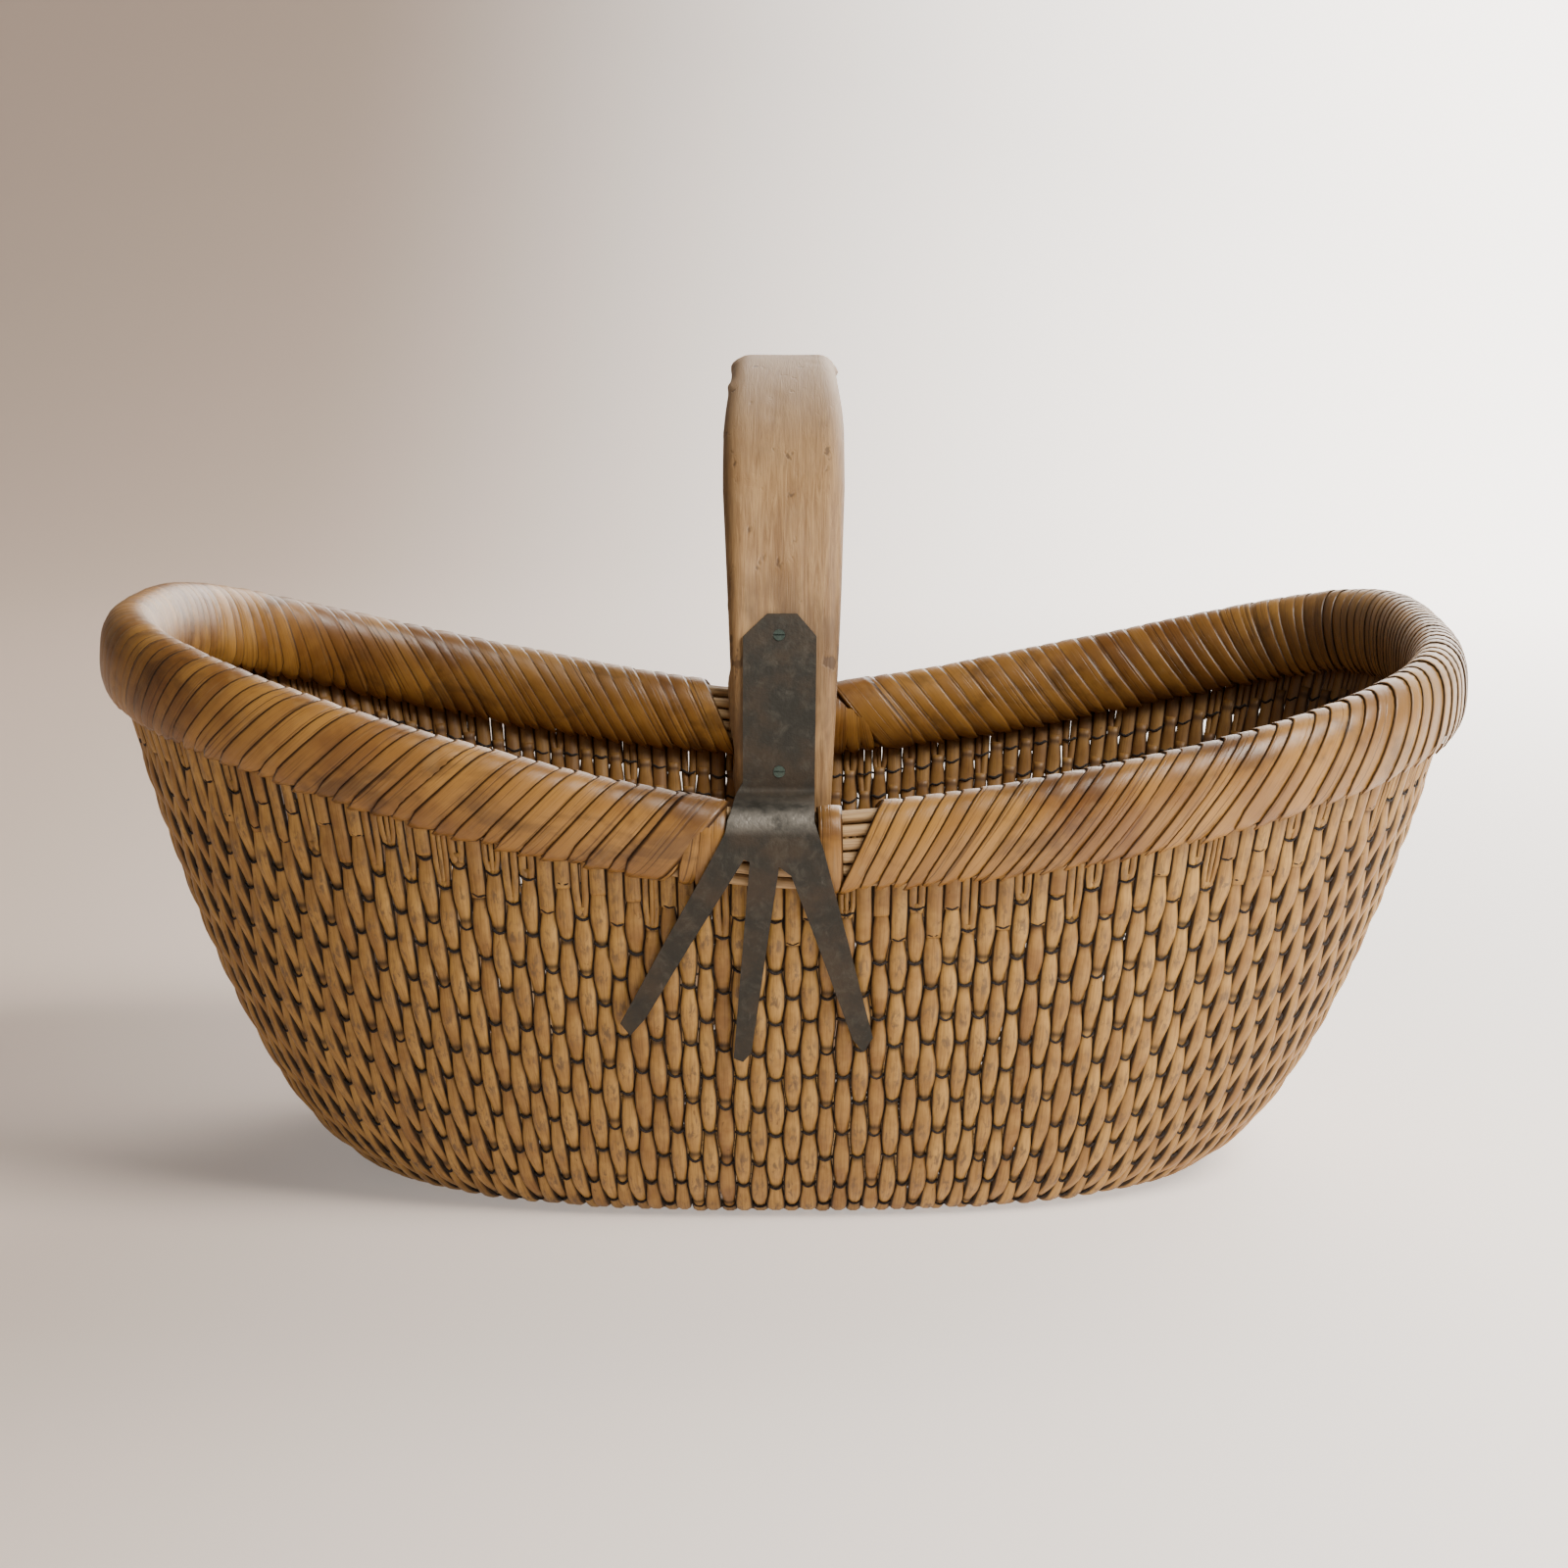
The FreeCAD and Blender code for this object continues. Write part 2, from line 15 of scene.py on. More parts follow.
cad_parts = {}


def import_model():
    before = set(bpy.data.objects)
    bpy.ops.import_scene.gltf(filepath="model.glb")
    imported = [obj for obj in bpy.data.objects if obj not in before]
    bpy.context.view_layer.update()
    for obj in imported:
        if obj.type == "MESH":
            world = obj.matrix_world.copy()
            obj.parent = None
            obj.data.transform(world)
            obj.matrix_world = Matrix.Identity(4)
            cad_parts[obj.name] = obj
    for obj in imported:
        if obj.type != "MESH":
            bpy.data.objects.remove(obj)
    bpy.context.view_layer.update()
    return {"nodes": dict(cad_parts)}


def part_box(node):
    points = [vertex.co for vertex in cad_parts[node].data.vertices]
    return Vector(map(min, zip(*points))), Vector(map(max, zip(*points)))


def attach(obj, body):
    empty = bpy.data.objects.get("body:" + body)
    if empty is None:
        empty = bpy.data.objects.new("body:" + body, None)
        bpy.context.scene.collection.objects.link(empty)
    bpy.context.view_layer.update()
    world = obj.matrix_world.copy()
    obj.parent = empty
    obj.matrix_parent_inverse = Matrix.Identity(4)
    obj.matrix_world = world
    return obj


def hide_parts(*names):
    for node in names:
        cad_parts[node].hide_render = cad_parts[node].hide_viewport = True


log = logging.getLogger("basket")
MM = 0.001
BODY = "root"
QUARTERS = ("front_right", "rear_right", "rear_left", "front_left")
TWINE_TURN = 1.9
Colour = tuple[float, float, float]


# ---- node graphs -----------------------------------------------------------

class Wire:
    """A socket that takes part in ordinary arithmetic."""

    def __init__(self, graph: "Graph", socket: bpy.types.NodeSocket) -> None:
        """Keeps the socket and the graph it belongs to."""
        self.graph = graph
        self.socket = socket

    def _op(self, operation: str, *values: Any) -> "Wire":
        """Adds one Math node."""
        return self.graph.maths(operation, *values)

    def __add__(self, other: Any) -> "Wire":
        """self + other."""
        return self._op("ADD", self, other)

    def __radd__(self, other: Any) -> "Wire":
        """other + self."""
        return self._op("ADD", other, self)

    def __sub__(self, other: Any) -> "Wire":
        """self - other."""
        return self._op("SUBTRACT", self, other)

    def __rsub__(self, other: Any) -> "Wire":
        """other - self."""
        return self._op("SUBTRACT", other, self)

    def __mul__(self, other: Any) -> "Wire":
        """self * other."""
        return self._op("MULTIPLY", self, other)

    def __rmul__(self, other: Any) -> "Wire":
        """other * self."""
        return self._op("MULTIPLY", other, self)

    def __truediv__(self, other: Any) -> "Wire":
        """self / other."""
        return self._op("DIVIDE", self, other)

    def __rtruediv__(self, other: Any) -> "Wire":
        """other / self."""
        return self._op("DIVIDE", other, self)

    def __pow__(self, other: Any) -> "Wire":
        """self ** other."""
        return self._op("POWER", self, other)

    def __neg__(self) -> "Wire":
        """-self."""
        return self._op("MULTIPLY", self, -1.0)

    def __abs__(self) -> "Wire":
        """abs(self)."""
        return self._op("ABSOLUTE", self)

    def sine(self) -> "Wire":
        """Sine of the value in radians."""
        return self._op("SINE", self)

    def cosine(self) -> "Wire":
        """Cosine of the value in radians."""
        return self._op("COSINE", self)

    def floor(self) -> "Wire":
        """Largest whole number not above the value."""
        return self._op("FLOOR", self)

    def sign(self) -> "Wire":
        """-1, 0 or 1."""
        return self._op("SIGN", self)

    def at_least(self, other: Any) -> "Wire":
        """The larger of the two values."""
        return self._op("MAXIMUM", self, other)

    def within(self, low: float, high: float) -> "Wire":
        """0 below low, 1 above high and smooth between; low may be the larger."""
        if low > high:
            return 1.0 - self.within(high, low)
        made = self.graph.node("ShaderNodeMapRange", {"interpolation_type": "SMOOTHSTEP"},
                               {"Value": self, "From Min": low, "From Max": high})
        return Wire(self.graph, made.outputs["Result"])


class Graph:
    """Adds nodes to a shader or geometry tree."""

    def __init__(self, tree: bpy.types.NodeTree) -> None:
        """Keeps the tree."""
        self.tree = tree

    def node(self, kind: str, settings: dict[str, Any] | None = None,
             sockets: dict[str | int, Any] | None = None) -> bpy.types.Node:
        """Makes any node.

        Args:
            kind: The node's type name.
            settings: Properties, set first.
            sockets: Values or links for its inputs, by name or number.

        Returns:
            The new node.
        """
        made = self.tree.nodes.new(kind)
        for name, value in (settings or {}).items():
            setattr(made, name, value)
        for key, value in (sockets or {}).items():
            self.feed(made.inputs[key], value)
        return made

    def feed(self, socket: bpy.types.NodeSocket, value: Any) -> None:
        """Links or sets one input socket."""
        if isinstance(value, Wire):
            self.tree.links.new(value.socket, socket)
        elif isinstance(value, bpy.types.NodeSocket):
            self.tree.links.new(value, socket)
        else:
            socket.default_value = value

    def out(self, kind: str, output: str | int, settings: dict[str, Any] | None = None,
            sockets: dict[str | int, Any] | None = None) -> Wire:
        """Makes any node and returns one of its outputs as a wire."""
        return Wire(self, self.node(kind, settings, sockets).outputs[output])

    def maths(self, operation: str, *values: Any) -> Wire:
        """Adds a Math node and returns its result."""
        return self.out("ShaderNodeMath", 0, {"operation": operation}, dict(enumerate(values)))

    def vector_maths(self, operation: str, *values: Any) -> Wire:
        """Adds a Vector Math node and returns its vector."""
        return self.out("ShaderNodeVectorMath", 0, {"operation": operation}, dict(enumerate(values)))

    def scaled(self, vector: Any, factor: Any) -> Wire:
        """A vector times a number."""
        return self.out("ShaderNodeVectorMath", 0, {"operation": "SCALE"}, {0: vector, "Scale": factor})

    def vector(self, x: Any, y: Any, z: Any) -> Wire:
        """A vector from three numbers."""
        return self.out("ShaderNodeCombineXYZ", 0, None, {0: x, 1: y, 2: z})

    def parts(self, vector: Any) -> tuple[Wire, Wire, Wire]:
        """The three numbers of a vector."""
        made = self.node("ShaderNodeSeparateXYZ", None, {0: vector})
        return tuple(Wire(self, made.outputs[axis]) for axis in range(3))


# ---- finishes --------------------------------------------------------------

@dataclass(frozen=True)
class Grain:
    """A noise: how fine it is, how it is stretched axis by axis, and its character."""

    scale: float
    stretch: tuple[float, float, float] | None = None
    detail: float = 4.0
    roughness: float = 0.55
    distortion: float = 0.0


@dataclass(frozen=True)
class Mask:
    """Where a value shows: nothing at low, all at high, and never more than its strength."""

    low: float
    high: float
    strength: float | None = None

    def on(self, value: Wire) -> Wire:
        """The mask of a value."""
        shown = value.within(self.low, self.high)
        return shown if self.strength is None else shown * self.strength


class Paint(Graph):
    """A shader graph with the few idioms that every finish here uses."""

    def __init__(self, name: str) -> None:
        """Starts an empty material."""
        self.material = bpy.data.materials.new(name)
        self.material.use_nodes = True
        super().__init__(self.material.node_tree)
        self.tree.nodes.clear()

    def attribute(self, name: str, output: str = "Fac") -> Wire:
        """Reads one of the piece's own attributes."""
        return self.out("ShaderNodeAttribute", output, {"attribute_name": name})

    def place(self) -> Wire:
        """Object coordinates."""
        return self.out("ShaderNodeTexCoord", "Object")

    def grain(self, vector: Wire, grain: Grain) -> Wire:
        """Noise between 0 and 1."""
        if grain.stretch is not None:
            vector = self.vector_maths("MULTIPLY", vector, grain.stretch)
        return self.out("ShaderNodeTexNoise", "Fac", None,
                        {"Vector": vector, "Scale": grain.scale, "Detail": grain.detail,
                         "Roughness": grain.roughness, "Distortion": grain.distortion})

    def blend(self, factor: Any, first: Any, second: Any) -> Wire:
        """Mixes two colours."""
        made = self.node("ShaderNodeMix", {"data_type": "RGBA", "blend_type": "MIX"},
                         {"Factor": factor, 6: self._colour(first), 7: self._colour(second)})
        return Wire(self, made.outputs[2])

    def bump(self, height: Wire, distance: float, strength: float) -> Wire:
        """Bump node on a height between 0 and 1, with its depth in metres."""
        return self.out("ShaderNodeBump", "Normal", None,
                        {"Height": height, "Distance": distance, "Strength": strength})

    def finish(self, **sockets: Any) -> bpy.types.Material:
        """Closes the graph with a Principled shader; names use underscores for spaces."""
        surface = self.node("ShaderNodeBsdfPrincipled", None,
                            {key.replace("_", " "): value for key, value in sockets.items()})
        self.node("ShaderNodeOutputMaterial", None, {"Surface": surface.outputs[0]})
        return self.material

    @staticmethod
    def _colour(value: Any) -> Any:
        """Gives a plain triple its alpha."""
        return value if isinstance(value, Wire) else (*value, 1.0)


@dataclass(frozen=True)
class PeeledWillow:
    """Aged peeled willow stakes: warm tan, worn grey on the bulges, with painted shade in the pinches under
    the twine, between the stakes and on their inner sides.
    """

    pale: Colour = (0.480, 0.265, 0.062)
    warm: Colour = (0.230, 0.104, 0.018)
    deep: Colour = (0.080, 0.031, 0.007)
    worn: Colour = (0.110, 0.066, 0.032)
    # Near-black colour of the painted shade in the pinches and between the stakes.
    crevice_shade_colour: Colour = (0.012, 0.006, 0.003)
    fibre_grain: Grain = Grain(1500.0, (1.0, 1.0, 0.035), 3.0, 0.6)
    cloud_grain: Grain = Grain(90.0, None, 3.0, 0.6)
    blotch_grain: Grain = Grain(420.0, (1.0, 1.0, 0.4), 4.0, 0.65, 0.4)
    rod_share: float = 0.55
    cloud_share: Mask = Mask(0.35, 0.65, 0.45)
    fibres: Mask = Mask(0.42, 0.68, 0.34)
    bulges: Mask = Mask(0.45, 1.0)
    outermost: Mask = Mask(0.55, 1.0)
    worn_spots: Mask = Mask(0.46, 0.60)
    worn_rods: Mask = Mask(0.05, 0.65)
    wear: float = 0.80
    specks: Mask = Mask(0.63, 0.70, 0.55)
    pinch_sharpness: float = 34.0
    # Painted shade: a contact shadow in the pinches under the twine, and shade down the sides where
    # neighbouring stakes meet.
    pinch_shade: float = 0.80
    gap_shade_mask: Mask = Mask(0.80, 0.47)
    gap_shade: float = 0.95
    # Painted shade on the side of each stake that faces into the basket.
    inner_side_shade: Mask = Mask(-0.1, 0.5, 0.55)
    relief_depth: float = 0.22 * MM
    relief_strength: float = 0.8

    def material(self) -> bpy.types.Material:
        """Builds the shader."""
        paint = Paint("peeled_willow")
        rod = paint.attribute("rod_space", "Vector")
        tone = paint.attribute("tone")
        beat = paint.attribute("beat")
        facing = paint.attribute("facing")
        fibre = paint.grain(rod, self.fibre_grain)
        cloud = paint.grain(rod, self.cloud_grain)
        blotch = paint.grain(rod, self.blotch_grain)
        base = paint.blend(tone * self.rod_share + self.cloud_share.on(cloud), self.warm, self.pale)
        base = paint.blend(self.fibres.on(fibre), base, self.deep)
        centre = (beat * (2.0 * math.pi)).cosine()
        bulge = self.bulges.on(0.5 - centre * 0.5)
        rub = bulge * self.outermost.on(facing) * self.worn_spots.on(blotch) * self.worn_rods.on(tone)
        base = paint.blend(rub * self.wear, base, self.worn)
        base = paint.blend(self.specks.on(blotch), base, self.deep)
        # Painted shade: a contact shadow in the pinch under each twine, and shade down the sides where
        # neighbouring stakes meet; the same mask also raises the roughness there.
        pinch = (centre * 0.5 + 0.5) ** self.pinch_sharpness
        gap = self.gap_shade_mask.on(abs(facing))
        crevice_shade = (pinch * self.pinch_shade).at_least(gap * self.gap_shade)
        base = paint.blend(crevice_shade * (0.70 + cloud * 0.5), base, self.crevice_shade_colour)
        # Painted shade: the inward-facing side of every stake is darkened for the dark inside of the basket.
        base = paint.blend(self.inner_side_shade.on(-facing), base, self.deep)
        relief = fibre * 0.45 + blotch * 0.55
        return paint.finish(Base_Color=base, Roughness=0.38 + fibre * 0.26 + crevice_shade * 0.25,
                            Normal=paint.bump(relief, self.relief_depth, self.relief_strength))


@dataclass(frozen=True)
class SplitWillow:
    """Split-willow binding: golden brown, half glossy, with long fine fibres, dark edges painted as the
    shadow between neighbouring strips, and a painted highlight at the right end.
    """

    pale: Colour = (0.380, 0.188, 0.038)
    warm: Colour = (0.150, 0.058, 0.010)
    deep: Colour = (0.026, 0.009, 0.003)
    grey: Colour = (0.300, 0.190, 0.080)
    fibre_grain: Grain = Grain(2600.0, (1.0, 0.2, 0.022), 3.0, 0.7)
    split_grain: Grain = Grain(900.0, (1.0, 0.2, 0.012), 2.0, 0.5)
    cloud_grain: Grain = Grain(22.0, None, 4.0, 0.6)
    smear_grain: Grain = Grain(75.0, None, 3.0, 0.55)
    stain_grain: Grain = Grain(34.0, (0.6, 1.0, 1.0), 4.0, 0.65, 0.6)
    streak_grain: Grain = Grain(620.0, (1.0, 0.2, 0.05), 3.0, 0.6)
    strip_share: float = 0.50
    cloud_share: Mask = Mask(0.38, 0.62, 0.50)
    fibres: Mask = Mask(0.45, 0.75, 0.42)
    splits: Mask = Mask(0.60, 0.66, 0.55)
    smears: Mask = Mask(0.60, 0.75, 0.30)
    stains: Mask = Mask(0.50, 0.66, 0.48)
    streaks: Mask = Mask(0.56, 0.74, 0.35)
    # Painted highlight: the right end of the rim is made greyer and paler, as if lit by the key light from
    # the right.
    right_end_highlight: Mask = Mask(0.20, 0.31, 0.40)
    # Painted shadow along the edges of each strip, where it overlaps its neighbour.
    edges: Mask = Mask(0.78, 0.95, 0.85)
    split_relief: Mask = Mask(0.66, 0.58, 0.5)
    relief_depth: float = 0.25 * MM
    relief_strength: float = 0.85

    def material(self) -> bpy.types.Material:
        """Builds the shader."""
        paint = Paint("split_willow_binding")
        rod = paint.attribute("rod_space", "Vector")
        tone = paint.attribute("tone")
        across = paint.attribute("across")
        place = paint.place()
        fibre = paint.grain(rod, self.fibre_grain)
        split = paint.grain(rod, self.split_grain)
        cloud = paint.grain(place, self.cloud_grain)
        base = paint.blend(tone * self.strip_share + self.cloud_share.on(cloud), self.warm, self.pale)
        base = paint.blend(self.fibres.on(fibre), base, self.deep)
        base = paint.blend(self.splits.on(split), base, self.deep)
        base = paint.blend(self.smears.on(paint.grain(place, self.smear_grain)), base, self.grey)
        base = paint.blend(self.stains.on(paint.grain(place, self.stain_grain)), base, self.deep)
        base = paint.blend(self.streaks.on(paint.grain(rod, self.streak_grain)), base, self.grey)
        # Painted highlight on the right end of the binding.
        base = paint.blend(self.right_end_highlight.on(paint.parts(place)[0]), base, self.grey)
        # Painted shadow: each strip's edges are darkened for the shade it casts on the next strip.
        base = paint.blend(self.edges.on(abs(across)), base, self.deep)
        relief = fibre * 0.5 + self.split_relief.on(split)
        return paint.finish(Base_Color=base, Roughness=0.20 + cloud * 0.22 + fibre * 0.12,
                            Normal=paint.bump(relief, self.relief_depth, self.relief_strength))


@dataclass(frozen=True)
class RimRodWillow:
    """Dull willow of the rods inside the rim, with painted shade down the sides where the rods meet."""

    pale: Colour = (0.560, 0.370, 0.175)
    deep: Colour = (0.170, 0.080, 0.028)
    fibre_grain: Grain = Grain(1300.0, (1.0, 1.0, 0.035), 3.0, 0.6)
    cloud_grain: Grain = Grain(60.0, None, 3.0, 0.6)
    fibres: Mask = Mask(0.35, 0.75, 0.6)
    # Painted shade on the sides of each rod, where it meets its neighbours.
    gap_shade_mask: Mask = Mask(0.5, 0.0, 0.5)
    relief_depth: float = 0.20 * MM
    relief_strength: float = 0.8

    def material(self) -> bpy.types.Material:
        """Builds the shader."""
        paint = Paint("rim_rod_willow")
        rod = paint.attribute("rod_space", "Vector")
        facing = paint.attribute("facing")
        fibre = paint.grain(rod, self.fibre_grain)
        cloud = paint.grain(paint.place(), self.cloud_grain)
        base = paint.blend(self.fibres.on(fibre) + cloud * 0.3, self.pale, self.deep)
        # Painted shade: each rod's sides, where it touches the next rod, are darkened.
        base = paint.blend(self.gap_shade_mask.on(abs(facing)), base, self.deep)
        return paint.finish(Base_Color=base, Roughness=0.5 + fibre * 0.2,
                            Normal=paint.bump(fibre, self.relief_depth, self.relief_strength))


@dataclass(frozen=True)
class BowWood:
    """Weathered bent hardwood: grey-brown with dark open grain and dents, greyer at the top, darker towards
    the feet, and painted shade on its side faces.
    """

    pale: Colour = (0.400, 0.240, 0.100)
    warm: Colour = (0.215, 0.112, 0.040)
    dark: Colour = (0.045, 0.022, 0.010)
    grey: Colour = (0.240, 0.152, 0.078)
    open_grain: Grain = Grain(360.0, (1.0, 1.0, 0.075), 5.0, 0.66, 0.9)
    fine_grain: Grain = Grain(2100.0, (1.0, 1.0, 0.045), 3.0, 0.6)
    cloud_grain: Grain = Grain(26.0, None, 4.0, 0.6)
    knock_grain: Grain = Grain(130.0, (1.0, 1.0, 0.55), 3.0, 0.6)
    patch_grain: Grain = Grain(44.0, (1.0, 1.0, 0.5), 4.0, 0.6, 0.4)
    figure: Mask = Mask(0.30, 0.72)
    pores: Mask = Mask(0.52, 0.76, 0.38)
    bleached: Mask = Mask(0.42, 0.68, 0.35)
    warm_patches: Mask = Mask(0.50, 0.66, 0.45)
    stain_height: Mask = Mask(0.285, 0.262)
    stain_patches: Mask = Mask(0.36, 0.58)
    stain: float = 0.45
    # Painted shade on the side faces of the bow.
    sides: Mask = Mask(0.018, 0.026, 0.35)
    # The top of the bow is greyer.
    greyer_top: Mask = Mask(0.318, 0.352, 0.70)
    knocks: Mask = Mask(0.64, 0.70, 0.65)
    # Darker towards the feet of the bow.
    darker_feet: Mask = Mask(0.205, 0.165, 0.45)
    knock_relief: Mask = Mask(0.70, 0.60, 0.30)
    relief_depth: float = 0.6 * MM
    relief_strength: float = 0.8

    def material(self) -> bpy.types.Material:
        """Builds the shader."""
        paint = Paint("weathered_bow_wood")
        rod = paint.attribute("rod_space", "Vector")
        height = paint.parts(paint.place())[2]
        grain = paint.grain(rod, self.open_grain)
        fine = paint.grain(rod, self.fine_grain)
        cloud = paint.grain(rod, self.cloud_grain)
        knock = paint.grain(rod, self.knock_grain)
        patch = paint.grain(rod, self.patch_grain)
        base = paint.blend(self.figure.on(grain), self.warm, self.pale)
        base = paint.blend(self.pores.on(fine), base, self.dark)
        base = paint.blend(self.bleached.on(cloud), base, self.grey)
        base = paint.blend(self.warm_patches.on(patch), base, self.warm)
        stain = self.stain_height.on(height) * self.stain_patches.on(patch)
        base = paint.blend(stain * self.stain, base, self.dark)
        # Painted shade: the side faces are darkened as if turned away from the light.
        base = paint.blend(self.sides.on(abs(paint.parts(rod)[0])), base, self.dark)
        # Greyer towards the top of the bow.
        base = paint.blend(self.greyer_top.on(height), base, self.grey)
        base = paint.blend(self.knocks.on(knock), base, self.dark)
        # Darker towards the feet.
        base = paint.blend(self.darker_feet.on(height), base, self.dark)
        relief = grain * 0.45 + fine * 0.25 + self.knock_relief.on(knock)
        return paint.finish(Base_Color=base, Roughness=0.44 + fine * 0.2 + cloud * 0.12,
                            Normal=paint.bump(relief, self.relief_depth, self.relief_strength))


@dataclass(frozen=True)
class ForgedIron:
    """Dark forged sheet iron, brown with old rust, rubbed bright at the fold and with a painted highlight
    along it.
    """

    name: str = "forged_iron"
    scale: Colour = (0.022, 0.020, 0.015)
    rust: Colour = (0.044, 0.031, 0.019)
    # Bright metal of rubbed spots, and the colour of the painted highlight along the fold.
    bare: Colour = (0.270, 0.250, 0.215)
    dust: Colour = (0.105, 0.094, 0.072)
    cloud_grain: Grain = Grain(70.0, None, 4.0, 0.6)
    pit_grain: Grain = Grain(620.0, None, 3.0, 0.6)
    streak_grain: Grain = Grain(380.0, (1.0, 1.0, 0.16), 3.0, 0.6)
    dust_grain: Grain = Grain(160.0, None, 4.0, 0.65, 0.5)
    rusty: Mask = Mask(0.35, 0.7)
    dusty: Mask = Mask(0.46, 0.80, 0.40)
    # Band along the fold: rubbed metal and a painted highlight.
    fold_height: float = 0.1815
    fold_band: Mask = Mask(0.0075, 0.0006)
    fold_patches: Mask = Mask(0.30, 0.62)
    fold_wear_and_highlight: float = 0.80
    streaks: Mask = Mask(0.62, 0.80, 0.12)
    relief_depth: float = 0.5 * MM
    relief_strength: float = 0.7

    def material(self) -> bpy.types.Material:
        """Builds the shader."""
        paint = Paint(self.name)
        place = paint.place()
        height = paint.parts(place)[2]
        cloud = paint.grain(place, self.cloud_grain)
        pit = paint.grain(place, self.pit_grain)
        streak = paint.grain(place, self.streak_grain)
        base = paint.blend(self.rusty.on(cloud), self.scale, self.rust)
        base = paint.blend(self.dusty.on(paint.grain(place, self.dust_grain)), base, self.dust)
        # Painted highlight and rubbed bare metal in a band along the fold; rub carries both, with the real
        # rub streaks.
        fold = self.fold_band.on(abs(height - self.fold_height)) * self.fold_patches.on(cloud)
        rub = (fold * self.fold_wear_and_highlight).at_least(self.streaks.on(streak))
        base = paint.blend(rub, base, self.bare)
        relief = pit * 0.6 + cloud * 0.4
        return paint.finish(Base_Color=base, Metallic=0.35 + rub * 0.5,
                            Roughness=0.56 - rub * 0.22 + pit * 0.1,
                            Normal=paint.bump(relief, self.relief_depth, self.relief_strength))


@dataclass(frozen=True)
class DarkTwine:
    """Tarred twine, black-brown with a twisted lay."""

    dark: Colour = (0.010, 0.006, 0.0045)
    dusty: Colour = (0.055, 0.032, 0.020)
    dust_grain: Grain = Grain(700.0, None, 3.0, 0.6)
    dust: Mask = Mask(0.45, 0.8, 0.7)
    lay_along: float = 5200.0
    lay_across: float = 2600.0
    relief_depth: float = 0.18 * MM
    relief_strength: float = 0.7

    def material(self) -> bpy.types.Material:
        """Builds the shader."""
        paint = Paint("dark_twine")
        rod = paint.attribute("rod_space", "Vector")
        across, _, along = paint.parts(rod)
        lay = (along * self.lay_along + across * self.lay_across).sine() * 0.5 + 0.5
        base = paint.blend(self.dust.on(paint.grain(rod, self.dust_grain)), self.dark, self.dusty)
        return paint.finish(Base_Color=base, Roughness=0.85,
                            Normal=paint.bump(lay, self.relief_depth, self.relief_strength))


@dataclass(frozen=True)
class StudioPaper:
    """Seamless pale paper under and behind the basket, painted darker on the left and glowing brighter
    towards the right as painted light.
    """

    colour: Colour = (0.82, 0.765, 0.715)
    shade: Colour = (0.60, 0.475, 0.39)
    dim: Colour = (0.0, 0.0, 0.0)
    bright: Colour = (4.5, 4.25, 4.0)
    cloud_grain: Grain = Grain(1.2, None, 2.0, 0.5)
    shaded_side: Mask = Mask(0.7, -0.7)
    lit_side: Mask = Mask(-0.55, 1.35)
    lit_rear: Mask = Mask(0.2, 3.2, 0.55)
    lit_front: float = 0.55

    def material(self) -> bpy.types.Material:
        """Builds the shader."""
        paint = Paint("studio_paper")
        place = paint.place()
        x, y, _ = paint.parts(place)
        base = paint.blend(paint.grain(place, self.cloud_grain) * 0.10, self.colour, self.shade)
        base = paint.blend(self.shaded_side.on(x), base, self.shade)
        # Painted light: the paper glows by emission, brightest at the right and towards the rear.
        glow = self.lit_side.on(x) * (self.lit_front + self.lit_rear.on(y))
        light = paint.blend(glow, self.dim, self.bright)
        return paint.finish(Base_Color=base, Roughness=0.8, Emission_Color=light, Emission_Strength=1.0)


# ---- the basket's form -----------------------------------------------------

